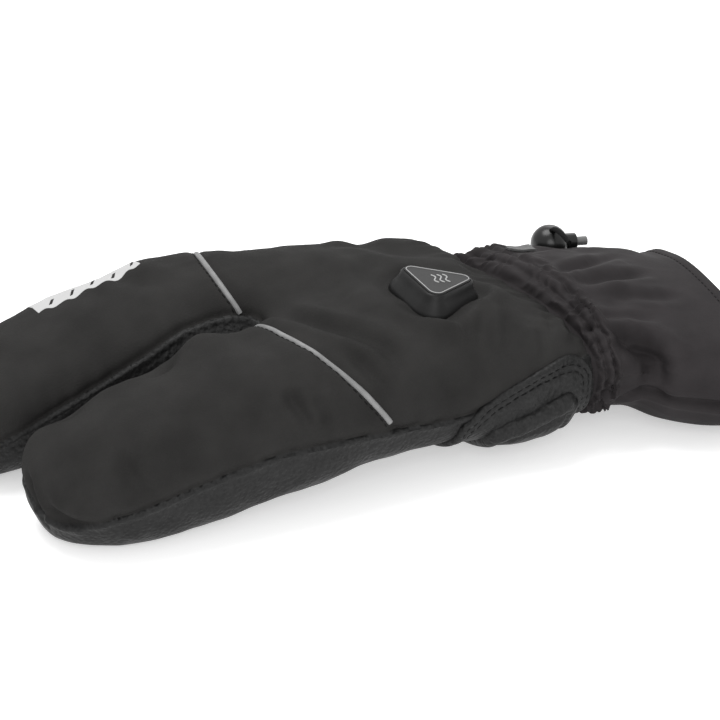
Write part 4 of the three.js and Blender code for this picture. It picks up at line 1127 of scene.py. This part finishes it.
def resampled(line):
    line = np.array(line, float)
    lengths = np.concatenate([[0], np.cumsum(np.linalg.norm(np.diff(line, axis=0), axis=1))])
    spots = np.arange(0, lengths[-1], STITCH_STEP)
    return np.stack([np.interp(spots, lengths, column) for column in line.T], 1)


def stitches(name, lines, stitch=2.5, gap=1, radius=0.27):
    length, period = int(stitch / STITCH_STEP), int((stitch + gap) / STITCH_STEP)
    solids = []
    for line in lines:
        for start in range(0, len(line) - length, period):
            run = line[start:start + length + 1]
            ways = unit(np.gradient(run, axis=0))
            first = unit(np.cross(ways, (0.2, 0.3, 1)))
            t = np.linspace(-1, 1, len(run))
            size = (radius * np.sqrt(np.maximum(1 - t ** 4, 0.04)))[:, None, None]
            solids.append(capped_loft(rings_round(run, first, np.cross(ways, first), size, 6)))
    details.append((mesh_object(name, *together(solids)), "thread"))


def heel_surface(x, z):
    """The point of the heel patch seen from the little-finger side at this place."""
    low = Vector(((x + SHIFT.x) * MM, -0.2, (z + SHIFT.z) * MM))
    hit, place, _, _ = pieces["heel_patch"].ray_cast(low, Vector((0, 1, 0)))
    return own(place) if hit else None


def inset_line(outline, inset, low_z):
    ahead = unit(np.roll(outline, -1, axis=0) - np.roll(outline, 1, axis=0))
    side = np.stack([-ahead[:, 1], ahead[:, 0]], 1)
    if np.median(inside_outline(outline + side * 0.5, outline)) < 0:
        side = -side
    moved = outline + side * inset
    good = (inside_outline(moved, outline) > inset * 0.9) & (moved[:, 1] > low_z)
    order = np.roll(np.arange(len(moved)), -np.argmax(~good))
    return moved[order][good[order]]


patch_lines = []
for inset in STITCH_INSETS:
    line = [heel_surface(x, z) for x, z in inset_line(PATCH_OUTLINE, inset, 9)]
    patch_lines.append(resampled([spot for spot in line if spot is not None]))
stitches("heel_stitches", patch_lines)
for name, line in piping_lines.items():
    near, out = nearest(skin_tree, resampled(line + PLANES[name]["normal"] * 2.3))
    stitches(f"{name}_piping_stitches", [near + out * 0.05], 2.2, 0.9, 0.24)
hem_at = int(np.argmin(np.abs(from_mouth[:, 0] - HEM_WIDTH))) + 1
hem_ring = cuff_form.reshape(-1, CUFF_COUNT, 3)[hem_at]
stitches("hem_stitches", [resampled(np.concatenate([hem_ring, hem_ring[:1]]))], 2.4, 1, 0.24)

# A generic printed band on the longer compartment: slanted bars in a row
PRINT_FROM_X = -171
PRINT_PITCH = 9
PRINT_BARS = 5
PRINT_RISE = 0.14
PRINT_MIDDLE = (-168, 52.5)
PRINT_SLOPE = 0.16
PRINT_LEAN = 0.06
PRINT_BAR_HALF = 0.42
PRINT_HALF_WIDTH = 8
PRINT_WAVE = 1.1
PRINT_SLOTS = (3, 2.6)


def print_mark(points):
    """How far inside the printed bars each point lies, negative outside them."""
    along = (points[:, 0] - PRINT_FROM_X) / PRINT_PITCH
    side = points[:, 1] - (PRINT_SLOPE * (points[:, 0] - PRINT_MIDDLE[0]) + PRINT_MIDDLE[1])
    lean = along - side * PRINT_LEAN
    bar = PRINT_BAR_HALF - np.abs(lean - np.floor(lean) - 0.5)
    within = np.minimum(along, PRINT_BARS - along)
    wavy = PRINT_HALF_WIDTH + PRINT_WAVE * np.sin(2 * math.pi * lean)
    slots = np.maximum(bar * PRINT_PITCH, np.abs(side + PRINT_SLOTS[0]) - PRINT_SLOTS[1])
    return np.minimum.reduce([slots, wavy - np.abs(side), within * PRINT_PITCH])


print_faces = inner_faces[(skin[inner_faces][:, :, 0] < -110).all(1)]
values, print_faces = finer(*used(skin, print_faces))
values, print_faces, _ = split(values, print_faces, print_mark(values[:, :3]))
print_out = (values[:, 3:6] - values[:, 6:9]) / SHELL_WALL
print_top, print_foot = (values[:, 3:6] + print_out * rise for rise in (PRINT_RISE, -0.1))
details.append((shell("printed_bars", print_top, print_foot, print_faces), "white_print"))


# Finishes

TEXTURES = {
    "noise": ("ShaderNodeTexNoise", "Fac", {}),
    "cells": ("ShaderNodeTexVoronoi", "Distance", {"feature": "SMOOTH_F1"}),
    "ribs": ("ShaderNodeTexWave", "Fac", {"bands_direction": "Y"}),
}


def shader_of(material):
    return material.node_tree.nodes["Principled BSDF"].inputs


def finish_of(name, colour, roughness, specular=0.5):
    material = bpy.data.materials.new(name)
    material.use_nodes = True
    shader_of(material)["Base Color"].default_value = (*colour, 1)
    shader_of(material)["Roughness"].default_value = roughness
    shader_of(material)["Specular IOR Level"].default_value = specular
    return material


def node_of(material, kind, values, **settings):
    """The outputs of a new node. Its values are numbers, or outputs of other nodes."""
    tree = material.node_tree
    node = tree.nodes.new(kind)
    for name, setting in settings.items():
        setattr(node, name, setting)
    for name, value in values.items():
        if isinstance(value, bpy.types.NodeSocket):
            tree.links.new(value, node.inputs[name])
        else:
            node.inputs[name].default_value = value
    return node.outputs


def textured(material, kind, scale, stretch=(1, 1, 1), detail=3):
    """A texture over the object's own coordinates, as the socket of its strength."""
    place = node_of(material, "ShaderNodeTexCoord", {})["Object"]
    place = node_of(material, "ShaderNodeMapping", {"Vector": place, "Scale": stretch})["Vector"]
    node, output, settings = TEXTURES[kind]
    own_values = {"noise": {"Detail": detail}, "ribs": {"Distortion": 0.6}}.get(kind, {})
    return node_of(material, node, {"Vector": place, "Scale": scale} | own_values, **settings)[output]


def bumped(material, strength, depth_mm, *textures, share=0):
    """Bumps a material with one texture, or with one and a share of another."""
    height = textured(material, *textures[0])
    for other in textures[1:]:
        values = {0: textured(material, *other), 1: share, 2: height}
        height = node_of(material, "ShaderNodeMath", values, operation="MULTIPLY_ADD")[0]
    values = {"Strength": strength, "Distance": depth_mm * MM, "Height": height}
    bump = node_of(material, "ShaderNodeBump", values)["Normal"]
    material.node_tree.links.new(bump, shader_of(material)["Normal"])


def varied(material, scale, detail, low, high):
    """Lets a noise run the shader's colour between two, or its roughness where they are numbers."""
    values = {"Value": textured(material, "noise", scale, detail=detail), "From Min": 0.3, "From Max": 0.7}
    if isinstance(low, tuple):
        spread = node_of(material, "ShaderNodeMapRange", values)[0]
        colours = {0: spread, 6: (*low, 1), 7: (*high, 1)}
        found, target = node_of(material, "ShaderNodeMix", colours, data_type="RGBA")[2], "Base Color"
    else:
        limits = {"To Min": low, "To Max": high}
        found, target = node_of(material, "ShaderNodeMapRange", values | limits)[0], "Roughness"
    material.node_tree.links.new(found, shader_of(material)[target])


def grey(value, warm=0.0):
    return (value * (1 + warm), value, value * (1 - warm))


# The finishes: colour, roughness and specular, then the bump's strength, depth in mm and texture
FINISHES = {
    "shell_fabric": ((grey(0.014, 0.03), 0.85, 0.1), (0.5, 0.3, ("noise", 1100, (1, 1.7, 1), 2),
                                                      ("noise", 1500, (1.9, 1, 1), 2)), 0.9),
    "cuff_fabric": ((grey(0.014, 0.04), 0.74, 0.12), (0.35, 0.2, ("noise", 1300, (1, 1.6, 1), 2),
                                                      ("noise", 700)), 0.8),
    "leather": ((grey(0.0088), 0.54, 0.2), (0.9, 0.55, ("cells", 640, (1, 1, 0.9)),
                                            ("noise", 300, (1.7, 1, 0.45), 6)), 1.1),
    "piping": ((grey(0.14), 0.5, 0.3), (0.3, 0.12, ("noise", 1500)), 0),
    "control_rubber": ((grey(0.006), 0.52, 0.22), (0.25, 0.05, ("noise", 1800)), 0),
    "control_gloss": ((grey(0.012), 0.5, 0.2), (0.12, 0.03, ("noise", 900)), 0),
    "lock_plastic": ((grey(0.006), 0.28, 0.36), (0.1, 0.05, ("noise", 240)), 0),
    "stem_plastic": ((grey(0.11), 0.4), (0.15, 0.04, ("noise", 700)), 0),
    "cord_braid": ((grey(0.007), 0.8, 0.1), (0.5, 0.12, ("noise", 1600)), 0),
    "tab_webbing": ((grey(0.09), 0.6), (0.6, 0.25, ("ribs", 520)), 0),
    "thread": ((grey(0.005), 0.75, 0.1), (0.4, 0.08, ("noise", 2200)), 0),
    "pale_print": ((grey(0.28), 0.5), (0.1, 0.02, ("noise", 1500)), 0),
    "white_print": ((grey(0.42), 0.7, 0.1), (0.3, 0.08, ("noise", 800, (1, 1, 1), 5)), 0),
}
# How a finish varies over the surface: the noise's scale and detail, and the values that it runs between
VARIED = [
    ("shell_fabric", 55, 6, grey(0.0145, 0.03), grey(0.0215, 0.03)),
    ("cuff_fabric", 70, 3, (0.0165, 0.0146, 0.0153), (0.0235, 0.0208, 0.0218)),
    ("leather", 800, 4, grey(0.0055), grey(0.013)),
    ("leather", 90, 6, 0.42, 0.62),
    ("piping", 160, 3, grey(0.13), grey(0.2)),
    ("control_rubber", 120, 3, 0.36, 0.52),
]
finishes = {name: finish_of(name, *look) for name, (look, _, _) in FINISHES.items()}
for name, (_, bump, share) in FINISHES.items():
    bumped(finishes[name], *bump, share=share)
for name, *row in VARIED:
    varied(finishes[name], *row)

# The slot and the finish of each piece
WORN = {
    ("leather", "leather"):
        "palm_leather finger_front_outer finger_front_inner thumb_front heel_patch heel_cushion",
    ("shell_fabric", "shell_fabric"): "finger_back_outer finger_back_inner back_panel thumb_back",
    ("piping", "piping"): "piping_outer piping_inner",
    ("control_rubber", "control_rubber"): "control_base",
    ("control_gloss", "control_gloss"): "control_plate",
    ("cuff_fabric", "cuff_fabric"): "wrist_gather gauntlet",
    ("lock_plastic", "lock_plastic"): "cord_lock",
    ("lock_plastic", "stem_plastic"): "cord_lock_plunger",
    ("cord", "cord_braid"): "drawcord",
    ("cord", "tab_webbing"): "cord_tab",
}
HARD_EDGE = math.radians(32)
SOFT_EDGE = math.radians(55)
worn_by = {node: look for look, nodes in WORN.items() for node in nodes.split()}

for node, piece in pieces.items():
    slot, finish = worn_by[node]
    piece.data.materials.clear()
    piece.data.materials.append(finishes[finish])
    piece.data.set_sharp_from_angle(angle=HARD_EDGE if node.startswith(("cord_l", "control")) else SOFT_EDGE)
    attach(piece, "plunger" if node == "cord_lock_plunger" else "glove")
    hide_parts(node)
for piece, finish in details:
    piece.data.materials.append(finishes[finish])
    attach(piece, "glove")


# Floor, light and camera

def studio_material(name, value, glow):
    material = finish_of(name, grey(value), 0.9, specular=0.1)
    shader_of(material)["Emission Color"].default_value = (1, 1, 1, 1)
    shader_of(material)["Emission Strength"].default_value = glow
    return material


floor = made("floor", bpy.ops.mesh.primitive_plane_add, size=8, location=(0, 0, -0.0002))
floor.data.materials.append(studio_material("pale_floor", 0.78, 0.44))

TARGET = Vector((0.003303, -0.018285, 0.035))
TO_CAMERA = Vector((-0.387, -0.794, 0.469)).normalized()
CAMERA_DISTANCE = 0.8923
CAMERA_LENS = 116


def area_light(name, direction, distance, size, power):
    light = bpy.data.lights.new(name, "AREA")
    light.shape = "DISK"
    light.size = size
    light.energy = power
    lamp = bpy.data.objects.new(name, light)
    bpy.context.scene.collection.objects.link(lamp)
    way = Vector(direction).normalized()
    lamp.location = TARGET + way * distance
    lamp.rotation_mode = "QUATERNION"
    lamp.rotation_quaternion = way.to_track_quat("Z", "Y")


# Each light: its direction from the glove, how far away, how wide and how strong
LIGHTS = {
    "key": ((-0.1, 0.3, 1.1), 1.3, 0.9, 12),
    "front": ((-0.3, -1, 0.6), 1.6, 1.1, 9),
    "rim": ((0.7, 0.9, 0.6), 1.5, 0.7, 2),
}
for name, row in LIGHTS.items():
    area_light(name, *row)

world = bpy.data.worlds.new("studio")
bpy.context.scene.world = world
world.use_nodes = True
world.node_tree.nodes["Background"].inputs[0].default_value = (1, 1, 1, 1)
world.node_tree.nodes["Background"].inputs[1].default_value = 0.95
bpy.context.scene.view_settings.view_transform = "Standard"

camera_data = bpy.data.cameras.new("camera")
camera_data.lens = CAMERA_LENS
camera_data.sensor_width = 36
camera_data.clip_start = 0.01
camera = bpy.data.objects.new("camera", camera_data)
bpy.context.scene.collection.objects.link(camera)
camera.location = TARGET + TO_CAMERA * CAMERA_DISTANCE
camera.rotation_mode = "QUATERNION"
camera.rotation_quaternion = TO_CAMERA.to_track_quat("Z", "Y")
bpy.context.scene.camera = camera
